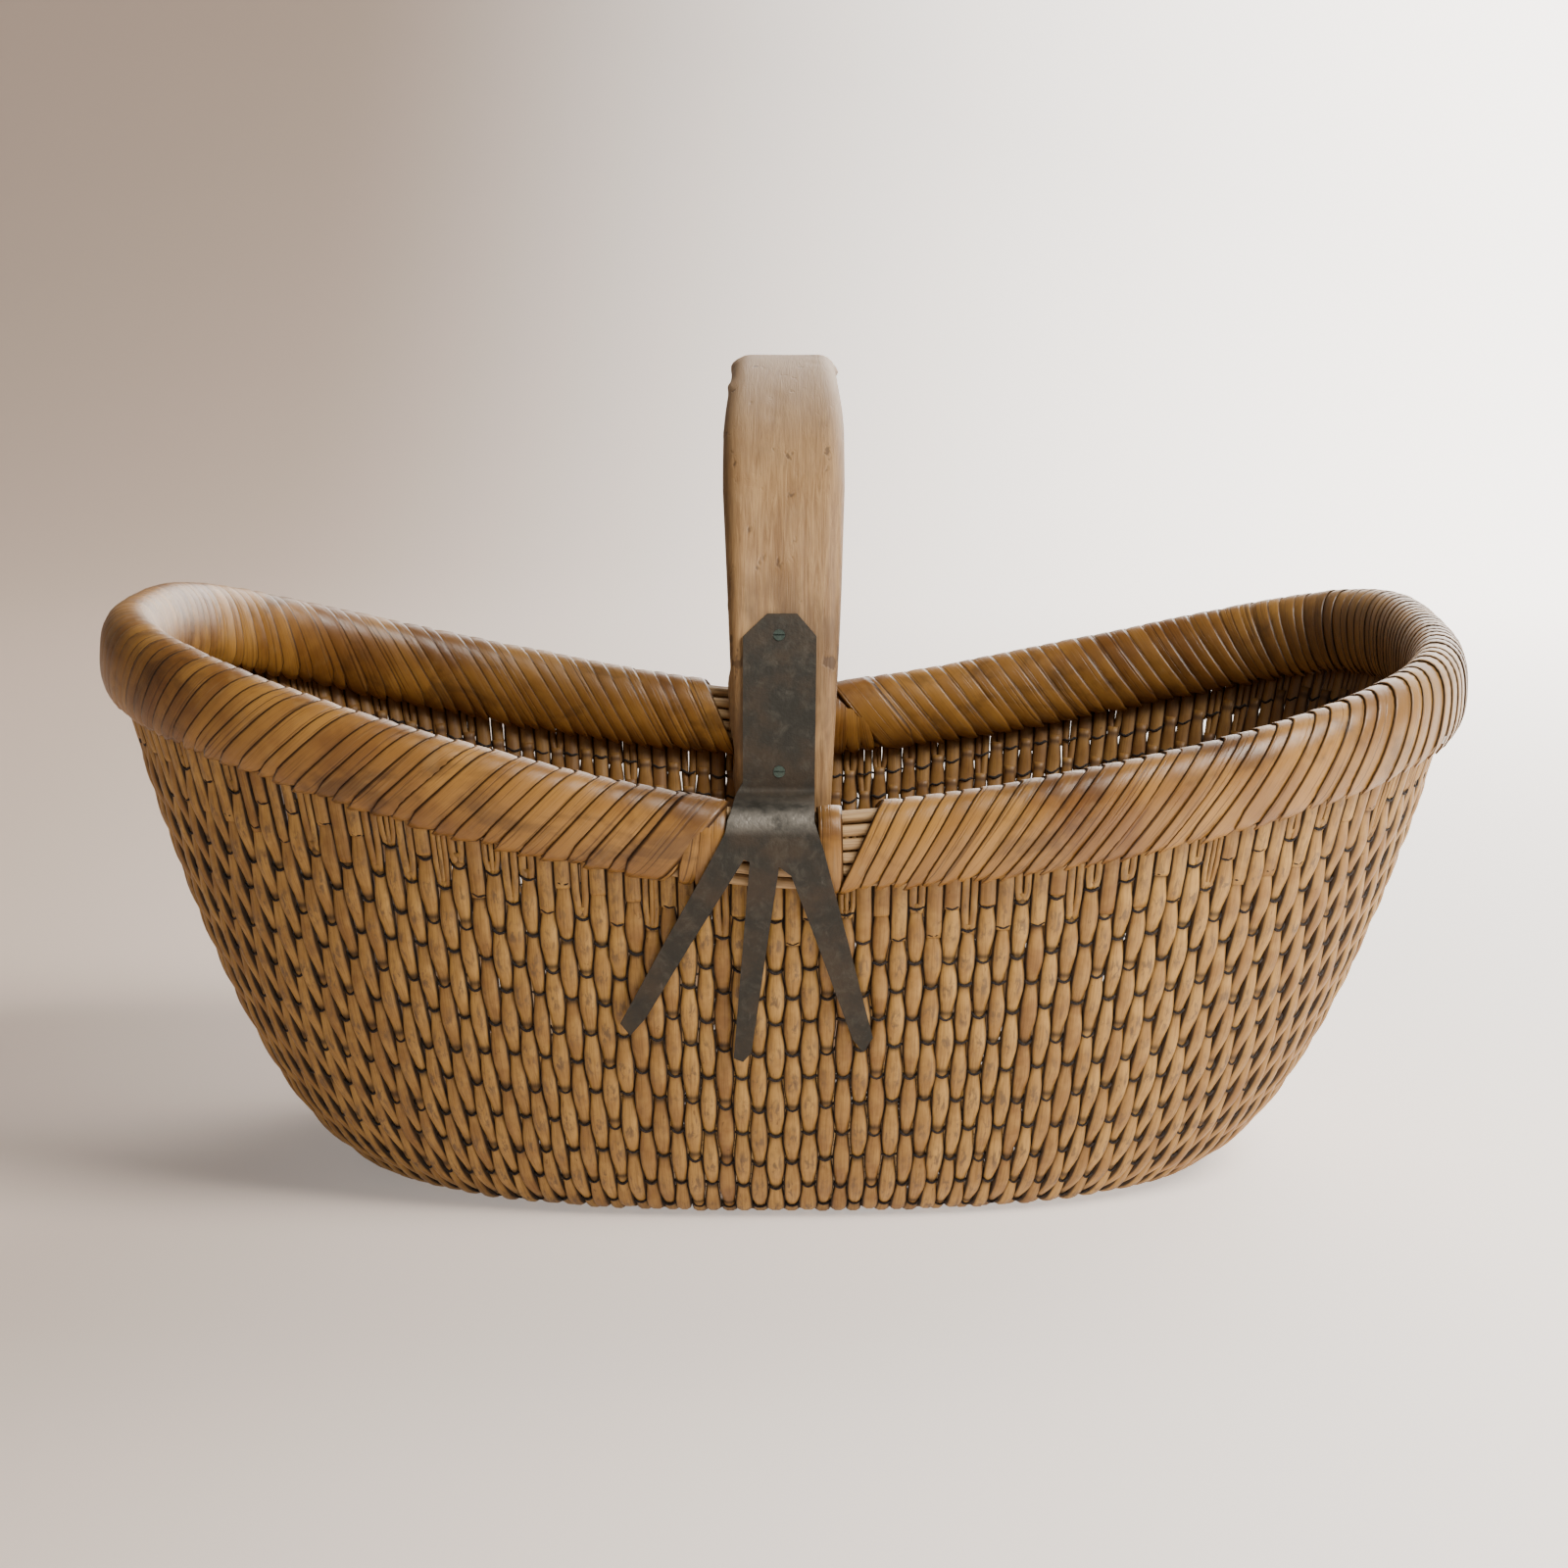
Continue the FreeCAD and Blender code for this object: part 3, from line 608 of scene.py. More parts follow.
@dataclass(frozen=True)
class BasketForm:
    """Rim line, wall and rim section that every piece follows, in metres."""

    rim_half_length: float = 289.0 * MM
    rim_half_depth: float = 190.0 * MM
    rim_squareness: float = 3.24
    rim_low_height: float = 166.0 * MM
    rim_end_rise: float = 60.5 * MM
    rim_rise_power: float = 1.51
    rim_length_tilt: float = -4.6 * MM
    rim_diagonal_warp: float = 3.0 * MM
    section_half_thickness: float = 13.0 * MM
    section_half_height: float = 18.5 * MM
    section_squareness: float = 2.4
    end_swell: float = 0.12
    swell_length: float = 120.0 * MM
    base_half_length: float = 174.0 * MM
    base_half_depth: float = 135.0 * MM
    base_squareness: float = 2.6
    base_front_ratio: float = 0.93
    stake_thickness: float = 5.4 * MM
    base_lift: float = 0.35 * MM
    stakes: int = 224
    samples: int = 5760
    rim_step: float = 0.0015
    normal_step: float = 0.0005
    rise_step: float = 0.01

    @staticmethod
    def outline_point(angle: np.ndarray, half_x: float, half_y: float, squareness: float) -> np.ndarray:
        """Points of a superellipse at parameter angles."""
        cosine, sine = np.cos(angle), np.sin(angle)
        power = 2.0 / squareness
        return np.stack([half_x * np.sign(cosine) * np.abs(cosine) ** power,
                         half_y * np.sign(sine) * np.abs(sine) ** power], -1)

    def _table(self, half_x: float, half_y: float, squareness: float) -> tuple[np.ndarray, np.ndarray]:
        """Points right round an outline from the front centre, with their arc lengths."""
        angle = -np.pi / 2 + 2 * np.pi * np.arange(self.samples + 1) / self.samples
        points = self.outline_point(angle, half_x, half_y, squareness)
        steps = np.linalg.norm(np.diff(points, axis=0), axis=1)
        return points, np.concatenate([[0.0], np.cumsum(steps)])

    @cached_property
    def rim_table(self) -> tuple[np.ndarray, np.ndarray]:
        """Outline of the rim."""
        return self._table(self.rim_half_length, self.rim_half_depth, self.rim_squareness)

    @cached_property
    def base_table(self) -> tuple[np.ndarray, np.ndarray]:
        """Outline of the base."""
        return self._table(self.base_half_length, self.base_half_depth, self.base_squareness)

    @property
    def perimeter(self) -> float:
        """Length round the rim."""
        return float(self.rim_table[1][-1])

    @staticmethod
    def _plan(table: tuple[np.ndarray, np.ndarray], fraction: np.ndarray) -> np.ndarray:
        """Plan points at fractions of an outline's arc."""
        points, lengths = table
        target = np.mod(fraction, 1.0) * lengths[-1]
        return np.stack([np.interp(target, lengths, points[:, axis]) for axis in (0, 1)], -1)

    def rim_height(self, plan: np.ndarray) -> np.ndarray:
        """Height of the rim's middle at plan points."""
        along = plan[..., 0] / self.rim_half_length
        across = plan[..., 1] / self.rim_half_depth
        rise = self.rim_end_rise * np.minimum(np.abs(along), 1.0) ** self.rim_rise_power
        warp = 2.0 * self.rim_diagonal_warp * along * across
        return self.rim_low_height + rise + self.rim_length_tilt * along + warp

    def rim_frame(self, fraction: np.ndarray) -> tuple[np.ndarray, np.ndarray, np.ndarray]:
        """Middle of the rim, its outward direction and local size factor."""
        plan = self._plan(self.rim_table, fraction)
        after = self._plan(self.rim_table, fraction + self.rim_step)
        chord = after - self._plan(self.rim_table, fraction - self.rim_step)
        outward = np.stack([chord[..., 1], -chord[..., 0], np.zeros(chord.shape[:-1])], -1)
        outward /= np.linalg.norm(outward, axis=-1, keepdims=True)
        share = np.minimum(np.abs(plan[..., 0]) / self.swell_length, 1.0) ** 1.5
        centre = np.concatenate([plan, self.rim_height(plan)[..., None]], -1)
        return centre, outward, 1.0 + self.end_swell * share

    def rim_skin(self, fraction: np.ndarray, degrees: np.ndarray, lift: np.ndarray) -> np.ndarray:
        """Points on the skin of the rim: 0 degrees looks outward, 90 is the top, 180 looks inward."""
        centre, outward, swell = self.rim_frame(fraction)
        spot = self.outline_point(np.radians(degrees), 1.0, 1.0, self.section_squareness)
        sideways = (self.section_half_thickness + lift) * spot[..., 0]
        upward = (self.section_half_height * swell + lift) * spot[..., 1]
        point = centre + outward * sideways[..., None]
        point[..., 2] += upward
        return point

    def rim_normal(self, fraction: np.ndarray, degrees: np.ndarray, lift: np.ndarray) -> np.ndarray:
        """Outward normal of the rim's skin, square to its slope as well."""
        after = self.rim_skin(fraction + self.normal_step, degrees, lift)
        along = after - self.rim_skin(fraction - self.normal_step, degrees, lift)
        turn = self.rim_skin(fraction, degrees + 1.0, lift) - self.rim_skin(fraction, degrees - 1.0, lift)
        return unit(np.cross(along, turn))

    @cached_property
    def section_table(self) -> tuple[np.ndarray, np.ndarray]:
        """Angles round the rim's section and the distance along it from the top, outward negative."""
        degrees = np.linspace(-90.0, 270.0, 361)
        angle = np.radians(degrees)
        power = 2.0 / self.section_squareness
        across = self.section_half_thickness * np.sign(np.cos(angle)) * np.abs(np.cos(angle)) ** power
        up = self.section_half_height * np.sign(np.sin(angle)) * np.abs(np.sin(angle)) ** power
        along = np.concatenate([[0.0], np.cumsum(np.hypot(np.diff(across), np.diff(up)))])
        return degrees, along - np.interp(90.0, degrees, along)

    def base_fraction(self, fraction: np.ndarray) -> np.ndarray:
        """Where on the base outline the stake at a rim fraction lands."""
        quarter = fraction * 4.0
        index = np.floor(quarter)
        within = quarter - index
        even = np.mod(index, 2) == 0
        from_side = np.where(even, within, 1.0 - within)
        mean = self.base_table[1][-1] / self.rim_table[1][-1]
        end_ratio = 1.5 * (mean - self.base_front_ratio / 3.0)
        side = (self.base_front_ratio - end_ratio) * (1.0 - (1.0 - from_side) ** 3) / 3.0
        reached = (end_ratio * from_side + side) / mean
        return (index + np.where(even, reached, 1.0 - reached)) / 4.0

    def wall_point(self, fraction: np.ndarray, share: np.ndarray) -> np.ndarray:
        """Middle of the wall: share 0 is the base outline, 1 the underside of the rim."""
        rim = self._plan(self.rim_table, fraction)
        base = self._plan(self.base_table, self.base_fraction(fraction))
        top = self.rim_height(rim) - self.section_half_height
        low = self.stake_thickness / 2.0 + self.base_lift
        plan = base + (rim - base) * share[..., None]
        return np.concatenate([plan, (low + (top - low) * share * share)[..., None]], -1)

    def wall_frame(self, fraction: np.ndarray, share: np.ndarray) -> tuple[np.ndarray, ...]:
        """Middle of the wall, its sideways and outward directions and half the stake pitch."""
        pitch = 1.0 / self.stakes
        centre = self.wall_point(fraction, share)
        chord = self.wall_point(fraction + pitch, share) - self.wall_point(fraction - pitch, share)
        above = self.wall_point(fraction, share + self.rise_step)
        rise = above - self.wall_point(fraction, np.maximum(share - self.rise_step, 0.0))
        rise /= np.linalg.norm(rise, axis=-1, keepdims=True)
        chord -= rise * np.sum(chord * rise, -1, keepdims=True)
        length = np.linalg.norm(chord, axis=-1, keepdims=True)
        side = chord / length
        out = np.cross(side, rise)
        return centre, side, out, length[..., 0] / 4.0


# ---- rods from guides ------------------------------------------------------

@dataclass
class Guides:
    """Stations along rods, each array shaped rods x stations (x 3)."""

    centre: np.ndarray
    side: np.ndarray
    out: np.ndarray
    half_width: np.ndarray
    half_depth: np.ndarray
    tone: np.ndarray
    beat: np.ndarray

    @staticmethod
    def joined(sets: Sequence["Guides"]) -> "Guides":
        """All the rods of several sets, which have the same number of stations."""
        return Guides(*(np.concatenate(values) for values in zip(*(one.arrays() for one in sets))))

    def arrays(self) -> tuple[np.ndarray, ...]:
        """Every array, in the order of the fields."""
        return self.centre, self.side, self.out, self.half_width, self.half_depth, self.tone, self.beat

    def part(self, chosen: np.ndarray) -> "Guides":
        """The chosen rods only."""
        return Guides(*(value[chosen] for value in self.arrays()))


def unit(vectors: np.ndarray) -> np.ndarray:
    """Vectors made one long."""
    return vectors / np.maximum(np.linalg.norm(vectors, axis=-1, keepdims=True), 1e-12)


def noise_series(shape: tuple[int, ...], seed: int, low: float = 0.0, high: float = 1.0) -> np.ndarray:
    """Repeatable random numbers."""
    return np.random.default_rng(seed).uniform(low, high, shape)


def over_and_under(phase: np.ndarray) -> np.ndarray:
    """A twine's swing between 1 and -1, flat over each rod and steep between two."""
    return np.tanh(TWINE_TURN * np.cos(phase)) / math.tanh(TWINE_TURN)


def quarter_of(x: np.ndarray, y: np.ndarray) -> np.ndarray:
    """Number in QUARTERS of the quarter of the basket in which a point lies."""
    return np.where(y < 0.0, np.where(x > 0.0, 0, 3), np.where(x > 0.0, 1, 2))


class RodLoom:
    """Geometry Nodes tree that turns guide points into rods, strips and twine."""

    VECTORS = ("side", "out")
    NUMBERS = ("half_width", "half_depth", "tone", "beat", "along")
    PINCH_REACH = 0.36
    PINCH_DEPTH_SHARE = 0.6
    WOBBLE_SCALE = 70.0
    ROD_SHIFT = 3.7
    GRAIN_SPREAD = 0.613
    GRAIN_SHIFT = 7.0

    def __init__(self) -> None:
        """Builds the tree once."""
        self.tree = bpy.data.node_groups.new("rods_on_guides", "GeometryNodeTree")
        self.sockets: dict[str, str] = {}
        self._socket("Geometry", "NodeSocketGeometry")
        for name, kind in (("Rod Count", "NodeSocketInt"), ("Stations", "NodeSocketInt"),
                           ("Sides", "NodeSocketInt"), ("Corner Power", "NodeSocketFloat"),
                           ("Pinch", "NodeSocketFloat"), ("Dip", "NodeSocketFloat"),
                           ("Camber", "NodeSocketFloat"), ("Wobble", "NodeSocketFloat"),
                           ("Seed", "NodeSocketInt"), ("Finish", "NodeSocketMaterial")):
            self._socket(name, kind)
        self.tree.interface.new_socket(name="Geometry", in_out="OUTPUT", socket_type="NodeSocketGeometry")
        self._build()

    def _socket(self, name: str, kind: str) -> None:
        """Adds a named input and remembers its identifier."""
        made = self.tree.interface.new_socket(name=name, in_out="INPUT", socket_type=kind)
        self.sockets[name] = made.identifier

    def _build(self) -> None:
        """Lays out the nodes."""
        graph = Graph(self.tree)
        group = graph.node("NodeGroupInput")

        def given(name: str) -> Wire:
            """One of the tree's named inputs."""
            return Wire(graph, group.outputs[name])

        stations, sides = given("Stations"), given("Sides")
        tube = graph.node("GeometryNodeMeshCylinder", {"fill_type": "NGON"},
                          {"Vertices": sides, "Side Segments": stations - 1, "Radius": 1.0, "Depth": 1.0})
        seats = graph.node("GeometryNodePoints", None, {"Count": given("Rod Count")})
        placed = graph.node("GeometryNodeInstanceOnPoints", None,
                            {"Points": seats.outputs[0], "Instance": tube.outputs["Mesh"]})
        real = graph.out("GeometryNodeRealizeInstances", 0, None, {0: placed.outputs[0]})
        x, y, z = graph.parts(graph.out("GeometryNodeInputPosition", 0))
        index = graph.out("GeometryNodeInputIndex", 0)
        rod = (index / (stations * sides) + 1e-5).floor()
        station = ((z + 0.5) * (stations - 1) + 0.5).floor()
        seat = rod * stations + station

        def sampled(name: str, kind: str) -> Wire:
            """A guide's attribute at the station that the vertex belongs to."""
            named = graph.out("GeometryNodeInputNamedAttribute", "Attribute", {"data_type": kind},
                              {"Name": name})
            return graph.out("GeometryNodeSampleIndex", 0, {"data_type": kind, "domain": "POINT"},
                             {"Geometry": given("Geometry"), "Value": named, "Index": seat})

        where = graph.out("GeometryNodeSampleIndex", 0, {"data_type": "FLOAT_VECTOR", "domain": "POINT"},
                          {"Geometry": given("Geometry"), "Value": graph.out("GeometryNodeInputPosition", 0),
                           "Index": seat})
        side, out = (sampled(name, "FLOAT_VECTOR") for name in self.VECTORS)
        width, depth, tone, beat, along = (sampled(name, "FLOAT") for name in self.NUMBERS)
        power = given("Corner Power")
        across = x.sign() * abs(x) ** power
        through = y.sign() * abs(y) ** power
        wave = (beat * (2.0 * math.pi)).cosine()
        away = 0.5 - abs(beat - beat.floor() - 0.5)
        pinch = (1.0 - away / self.PINCH_REACH).at_least(0.0)
        width = width * (1.0 - given("Pinch") * pinch)
        depth = depth * (1.0 - given("Pinch") * self.PINCH_DEPTH_SHARE * pinch)
        bowed = given("Camber") * (1.0 - across * across)
        wave_offset = wave * given("Dip")
        seeded = graph.vector_maths("ADD", graph.scaled(where, self.WOBBLE_SCALE),
                                    graph.vector(given("Seed"), rod * self.ROD_SHIFT, 0.0))
        drift = graph.out("ShaderNodeTexNoise", "Fac", None, {"Vector": seeded, "Scale": 1.0, "Detail": 2.0})
        drift = (drift - 0.5) * given("Wobble")
        sideways = across * width + drift
        outward = through * depth + bowed - wave_offset + drift
        point = graph.vector_maths("ADD", where, graph.scaled(side, sideways))
        point = graph.vector_maths("ADD", point, graph.scaled(out, outward))
        flow: Any = real
        rod_space = graph.vector(across * width + rod * self.GRAIN_SPREAD, through * depth, along)
        stored = (("rod_space", "FLOAT_VECTOR", rod_space), ("tone", "FLOAT", tone), ("beat", "FLOAT", beat),
                  ("facing", "FLOAT", through), ("across", "FLOAT", across))
        for name, kind, value in stored:
            flow = graph.out("GeometryNodeStoreNamedAttribute", 0, {"data_type": kind, "domain": "POINT"},
                             {"Geometry": flow, "Name": name, "Value": value})
        moved = graph.out("GeometryNodeSetPosition", 0, None, {"Geometry": flow, "Position": point})
        smooth = graph.out("GeometryNodeSetShadeSmooth", 0, None, {"Geometry": moved})
        plain = graph.out("GeometryNodeRealizeInstances", 0, None, {0: smooth})
        dressed = graph.out("GeometryNodeSetMaterial", 0, None,
                            {"Geometry": plain, "Material": given("Finish")})
        graph.node("NodeGroupOutput", None, {0: dressed})

    @staticmethod
    def _guide_mesh(name: str, guides: Guides) -> bpy.types.Mesh:
        """Stores the guides as loose points with attributes."""
        rods, stations = guides.half_width.shape
        mesh = bpy.data.meshes.new(name)
        mesh.vertices.add(rods * stations)
        mesh.vertices.foreach_set("co", guides.centre.astype(np.float32).ravel())
        steps = np.linalg.norm(np.diff(guides.centre, axis=1), axis=-1)
        along = np.concatenate([np.zeros((rods, 1)), np.cumsum(steps, axis=1)], 1)
        tone = np.repeat(guides.tone[:, None], stations, 1)
        for label in RodLoom.VECTORS:
            layer = mesh.attributes.new(label, "FLOAT_VECTOR", "POINT")
            layer.data.foreach_set("vector", getattr(guides, label).astype(np.float32).ravel())
        numbers = {"half_width": guides.half_width, "half_depth": guides.half_depth, "tone": tone,
                   "beat": guides.beat, "along": along + guides.tone[:, None] * RodLoom.GRAIN_SHIFT}
        for label, values in numbers.items():
            layer = mesh.attributes.new(label, "FLOAT", "POINT")
            layer.data.foreach_set("value", values.astype(np.float32).ravel())
        return mesh

    def weave(self, name: str, guides: Guides, finish: bpy.types.Material, sides: int = 8,
              corner_power: float = 1.0, pinch: float = 0.0, dip: float = 0.0, camber: float = 0.0,
              wobble: float = 0.0, seed: int = 1) -> bpy.types.Object:
        """Makes one piece from guides.

        Args:
            name: The piece's name.
            guides: Stations along its rods.
            finish: Its material.
            sides: Points round each rod.
            corner_power: 1 for an oval section, less for a squarer one.
            pinch: Share of the width lost where the beat is whole.
            dip: How far the rod sinks there, and stands out half-way between.
            camber: How far the middle of a strip stands above its edges.
            wobble: Size of the hand-made unevenness.
            seed: Start of that unevenness.

        Returns:
            A plain mesh object at the origin.
        """
        rods, stations = guides.half_width.shape
        source = bpy.data.objects.new(name + "_guides", self._guide_mesh(name + "_guides", guides))
        bpy.context.scene.collection.objects.link(source)
        modifier = source.modifiers.new("rods", "NODES")
        modifier.node_group = self.tree
        values = {"Rod Count": rods, "Stations": stations, "Sides": sides, "Seed": seed, "Finish": finish,
                  "Corner Power": float(corner_power), "Pinch": float(pinch), "Dip": float(dip),
                  "Camber": float(camber), "Wobble": float(wobble)}
        for label, value in values.items():
            modifier[self.sockets[label]] = value
        bpy.context.view_layer.update()
        depsgraph = bpy.context.evaluated_depsgraph_get()
        mesh = bpy.data.meshes.new_from_object(source.evaluated_get(depsgraph),
                                               preserve_all_data_layers=True, depsgraph=depsgraph)
        mesh.name = name
        made = bpy.data.objects.new(name, mesh)
        bpy.context.scene.collection.objects.link(made)
        bpy.data.objects.remove(source)
        return made


def hand_over(piece: bpy.types.Object, nodes: Sequence[str] = ()) -> None:
    """Fastens a finished piece to the frame and reports it."""
    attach(piece, BODY)
    if nodes:
        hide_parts(*nodes)
    faces = len(piece.data.polygons)
    log.info("%s: %d faces, stands for %s", piece.name, faces, ", ".join(nodes) or "no node of its own")


# ---- sub-assemblies --------------------------------------------------------

@dataclass
class WovenWall:
    """Willow stakes of the wall and the twine rows that tie them."""

    form: BasketForm
    loom: RodLoom
    row_shares: tuple[float, ...] = (0.150, 0.308, 0.424, 0.514, 0.597, 0.664, 0.727, 0.785, 0.836, 0.883,
                                     0.928, 0.968)
    pinch: float = 0.32
    dip: float = 0.80 * MM
    overlap: float = 1.14
    stake_sides: int = 10
    stations_per_row: int = 5
    tie_radius: float = 0.58 * MM
    split_share: float = 0.36
    slack_share: float = 0.06
    top_in_rim: float = 6.0 * MM
    first_row: float = -0.8
    above_tie: float = 0.25
    below_tie: float = -0.10
    row_wander: float = 0.10
    row_wave: float = 0.09
    row_wave_turns: float = 61.0
    flattest: float = 1.35
    sway: float = 0.22 * MM
    sway_turn: float = 1.7
    slivers: tuple[tuple[tuple[float, float], ...], ...] = (
        ((-0.66, 0.42), (0.02, 0.34), (0.66, 0.38)),
        ((-0.50, 0.56), (0.52, 0.50)),
    )
    slack_width: float = 0.86
    full_width: float = 1.12
    top_stations: int = 12
    wall_part: float = 0.72
    fan_start: float = 0.55
    top_lean: float = 0.16
    top_beat: float = 0.35
    tie_beat: float = 0.05
    tie_steps: int = 6
    tie_slip: float = 0.10
    tie_scatter: tuple[float, float] = (12.9898, 78.2)

    @cached_property
    def fractions(self) -> np.ndarray:
        """Place of every stake round the rim."""
        return (np.arange(self.form.stakes) + 0.5) / self.form.stakes

    @cached_property
    def row_scale(self) -> tuple[np.ndarray, np.ndarray]:
        """Shares of the wall's height and the row number at each, extended to base and rim."""
        shares = np.array((0.0, *self.row_shares, 1.0))
        last = len(self.row_shares) - 1
        pitch = self.row_shares[-1] - self.row_shares[-2]
        top = last + (1.0 - self.row_shares[-1]) / pitch
        return shares, np.array((self.first_row, *range(last + 1), top))

    def share_at(self, row: np.ndarray) -> np.ndarray:
        """Share of the wall's height at a row number."""
        shares, rows = self.row_scale
        return np.interp(row, rows, shares)

    def row_level(self, fraction: np.ndarray) -> np.ndarray:
        """Slow rise and fall of the twine rows round the basket, in rows."""
        return self.row_wave * np.sin(fraction * self.row_wave_turns)

    def stake_depth(self, half: np.ndarray) -> np.ndarray:
        """Half thickness of the stakes where half their width is given."""
        return np.minimum(self.form.stake_thickness / 2.0, self.flattest * half)

    def stake_guides(self) -> Guides:
        """Stakes from the base outline to their uppermost tie."""
        count = self.form.stakes
        last = len(self.row_shares) - 1
        parity = np.arange(count) % 2
        top = last - (parity + last) % 2 + self.above_tie
        steps = int(round((last + 1) * self.stations_per_row))
        row = self.first_row + (top[:, None] - self.first_row) * np.linspace(0.0, 1.0, steps)[None, :]
        drift = noise_series((count, 1), 11, -self.row_wander, self.row_wander)
        drift = drift + self.row_level(self.fractions)[:, None]
        share = self.share_at(row + drift)
        fraction = np.repeat(self.fractions[:, None], steps, 1)
        centre, side, out, half = self.form.wall_frame(fraction, share)
        beat = (row + parity[:, None]) / 2.0
        girth = self.overlap * noise_series((count, 1), 12, 0.93, 1.05)
        bend = np.sin(row * self.sway_turn + parity[:, None] * 2.0)
        sway = noise_series((count, 1), 13, -1.0, 1.0) * self.sway * bend
        centre = centre + side * sway[..., None]
        depth = self.stake_depth(half) * noise_series((count, 1), 14, 0.92, 1.05)
        return Guides(centre, side, out, half * girth, depth, noise_series((count,), 15), beat)

    def top_guides(self) -> Guides:
        """Stake tops between the uppermost tie and the inside of the rim, some split into slivers."""
        count = self.form.stakes
        last = len(self.row_shares) - 1
        parity = np.arange(count) % 2
        split = noise_series((count,), 21) < self.split_share
        slack = noise_series((count,), 24) < self.slack_share
        rows, offsets, widths = [], [], []
        for index in range(count):
            if not split[index]:
                shares = ((0.0, self.slack_width if slack[index] else self.full_width),)
            else:
                shares = self.slivers[0 if index % 3 == 0 else 1]
            for offset, width in shares:
                rows.append(index)
                offsets.append(offset)
                widths.append(width)
        index = np.array(rows)
        offset, width = np.array(offsets), np.array(widths)
        steps = self.top_stations
        t = np.linspace(0.0, 1.0, steps)[None, :]
        bottom = (last - (parity[index] + last) % 2 + self.below_tie)[:, None]
        top = self.row_scale[1][-1]
        row = bottom + (top - bottom) * np.minimum(t / self.wall_part, 1.0)
        share = self.share_at(row)
        fraction = np.repeat(self.fractions[index][:, None], steps, 1)
        centre, side, out, half = self.form.wall_frame(fraction, share)
        swell = self.form.rim_frame(fraction)[2]
        rise = self.form.section_half_height * swell + self.top_in_rim
        centre[..., 2] += np.maximum(t - self.wall_part, 0.0) / (1.0 - self.wall_part) * rise
        fan = self.fan_start + (1.0 - self.fan_start) * np.minimum(t * 3.0, 1.0)
        is_sliver = offset[:, None] != 0.0
        lean = noise_series((len(index), 1), 22, -self.top_lean, self.top_lean) * t * is_sliver
        centre = centre + side * (half * (offset[:, None] * fan + lean))[..., None]
        taper = 1.0 - 0.05 * t
        depth = self.form.stake_thickness / 2.0 * np.where(is_sliver, 0.62, 0.88) * np.ones_like(t)
        beat = np.full((len(index), steps), self.top_beat)
        beat[:, 0] = self.tie_beat
        return Guides(centre, side, out, half * width[:, None] * taper, depth,
                      noise_series((len(index),), 23), beat)

    def twine_guides(self, rows: Sequence[int]) -> Guides:
        """Rows of twine that pass outside every second stake and inside the others."""
        count = self.form.stakes
        steps = count * self.tie_steps + 1
        walk = np.arange(steps) / self.tie_steps
        step_scatter, row_scatter = self.tie_scatter
        fraction = np.mod(walk / count, 1.0)
        fraction[-1] = fraction[0]
        made: list[Guides] = []
        for row in rows:
            phase = np.pi * (walk - 0.5 - row)
            swing = over_and_under(phase)
            slip = np.sin(np.floor(walk) * step_scatter + row * row_scatter) * (np.abs(swing) > 0.4)
            level = row + self.tie_slip * (slip - np.cos(phase) ** 2) + self.row_level(fraction)
            centre, _, out, half = self.form.wall_frame(fraction, self.share_at(level))
            depth = self.stake_depth(half)
            outside = depth * (1.0 - 0.6 * self.pinch) - self.dip + self.tie_radius * 0.75
            inside = depth - self.dip + self.tie_radius * 0.8
            reach = np.where(swing > 0.0, outside, inside)
            path = centre + out * (swing * reach)[:, None]
            tangent = unit(np.gradient(path, axis=0))
            across = unit(np.cross(out, tangent))
            radius = np.full(steps, self.tie_radius) * (1.0 + 0.18 * np.sin(walk * 2.3 + row))
            made.append(Guides(path[None], across[None], unit(np.cross(tangent, across))[None], radius[None],
                               radius[None] * 0.9, np.array([row / 12.0]), np.zeros((1, steps))))
        return Guides.joined(made)

    def build(self, nodes: Sequence[str]) -> None:
        """Makes the stakes, their tops and the twine in place of the plain CAD rods."""
        willow, twine = PeeledWillow().material(), DarkTwine().material()
        stakes, tops = self.stake_guides(), self.top_guides()
        stake_quarter = np.floor(self.fractions * 4.0).astype(int)
        top_quarter = quarter_of(tops.centre[:, 0, 0], tops.centre[:, 0, 1])
        sectors = sorted(name for name in nodes if name.startswith("wall_stakes"))
        for quarter, name in enumerate(QUARTERS):
            piece = self.loom.weave("willow_stakes_" + name, stakes.part(stake_quarter == quarter), willow,
                                    self.stake_sides, 0.86, self.pinch, self.dip, 0.0, 0.5 * MM, 31 + quarter)
            share = len(sectors) // 4
            hand_over(piece, sectors[quarter * share:(quarter + 1) * share])
            piece = self.loom.weave("willow_stake_tops_" + name, tops.part(top_quarter == quarter), willow, 8,
                                    0.9, 0.10, 0.2 * MM, 0.0, 0.7 * MM, 41 + quarter)
            hand_over(piece)
        ties = sorted(name for name in nodes if name.startswith("twine_row"))
        half = len(ties) // 2
        for label, rows in (("lower", range(half)), ("upper", range(half, len(ties)))):
            piece = self.loom.weave("twine_ties_" + label, self.twine_guides(list(rows)), twine, 6)
            hand_over(piece, [ties[row] for row in rows])


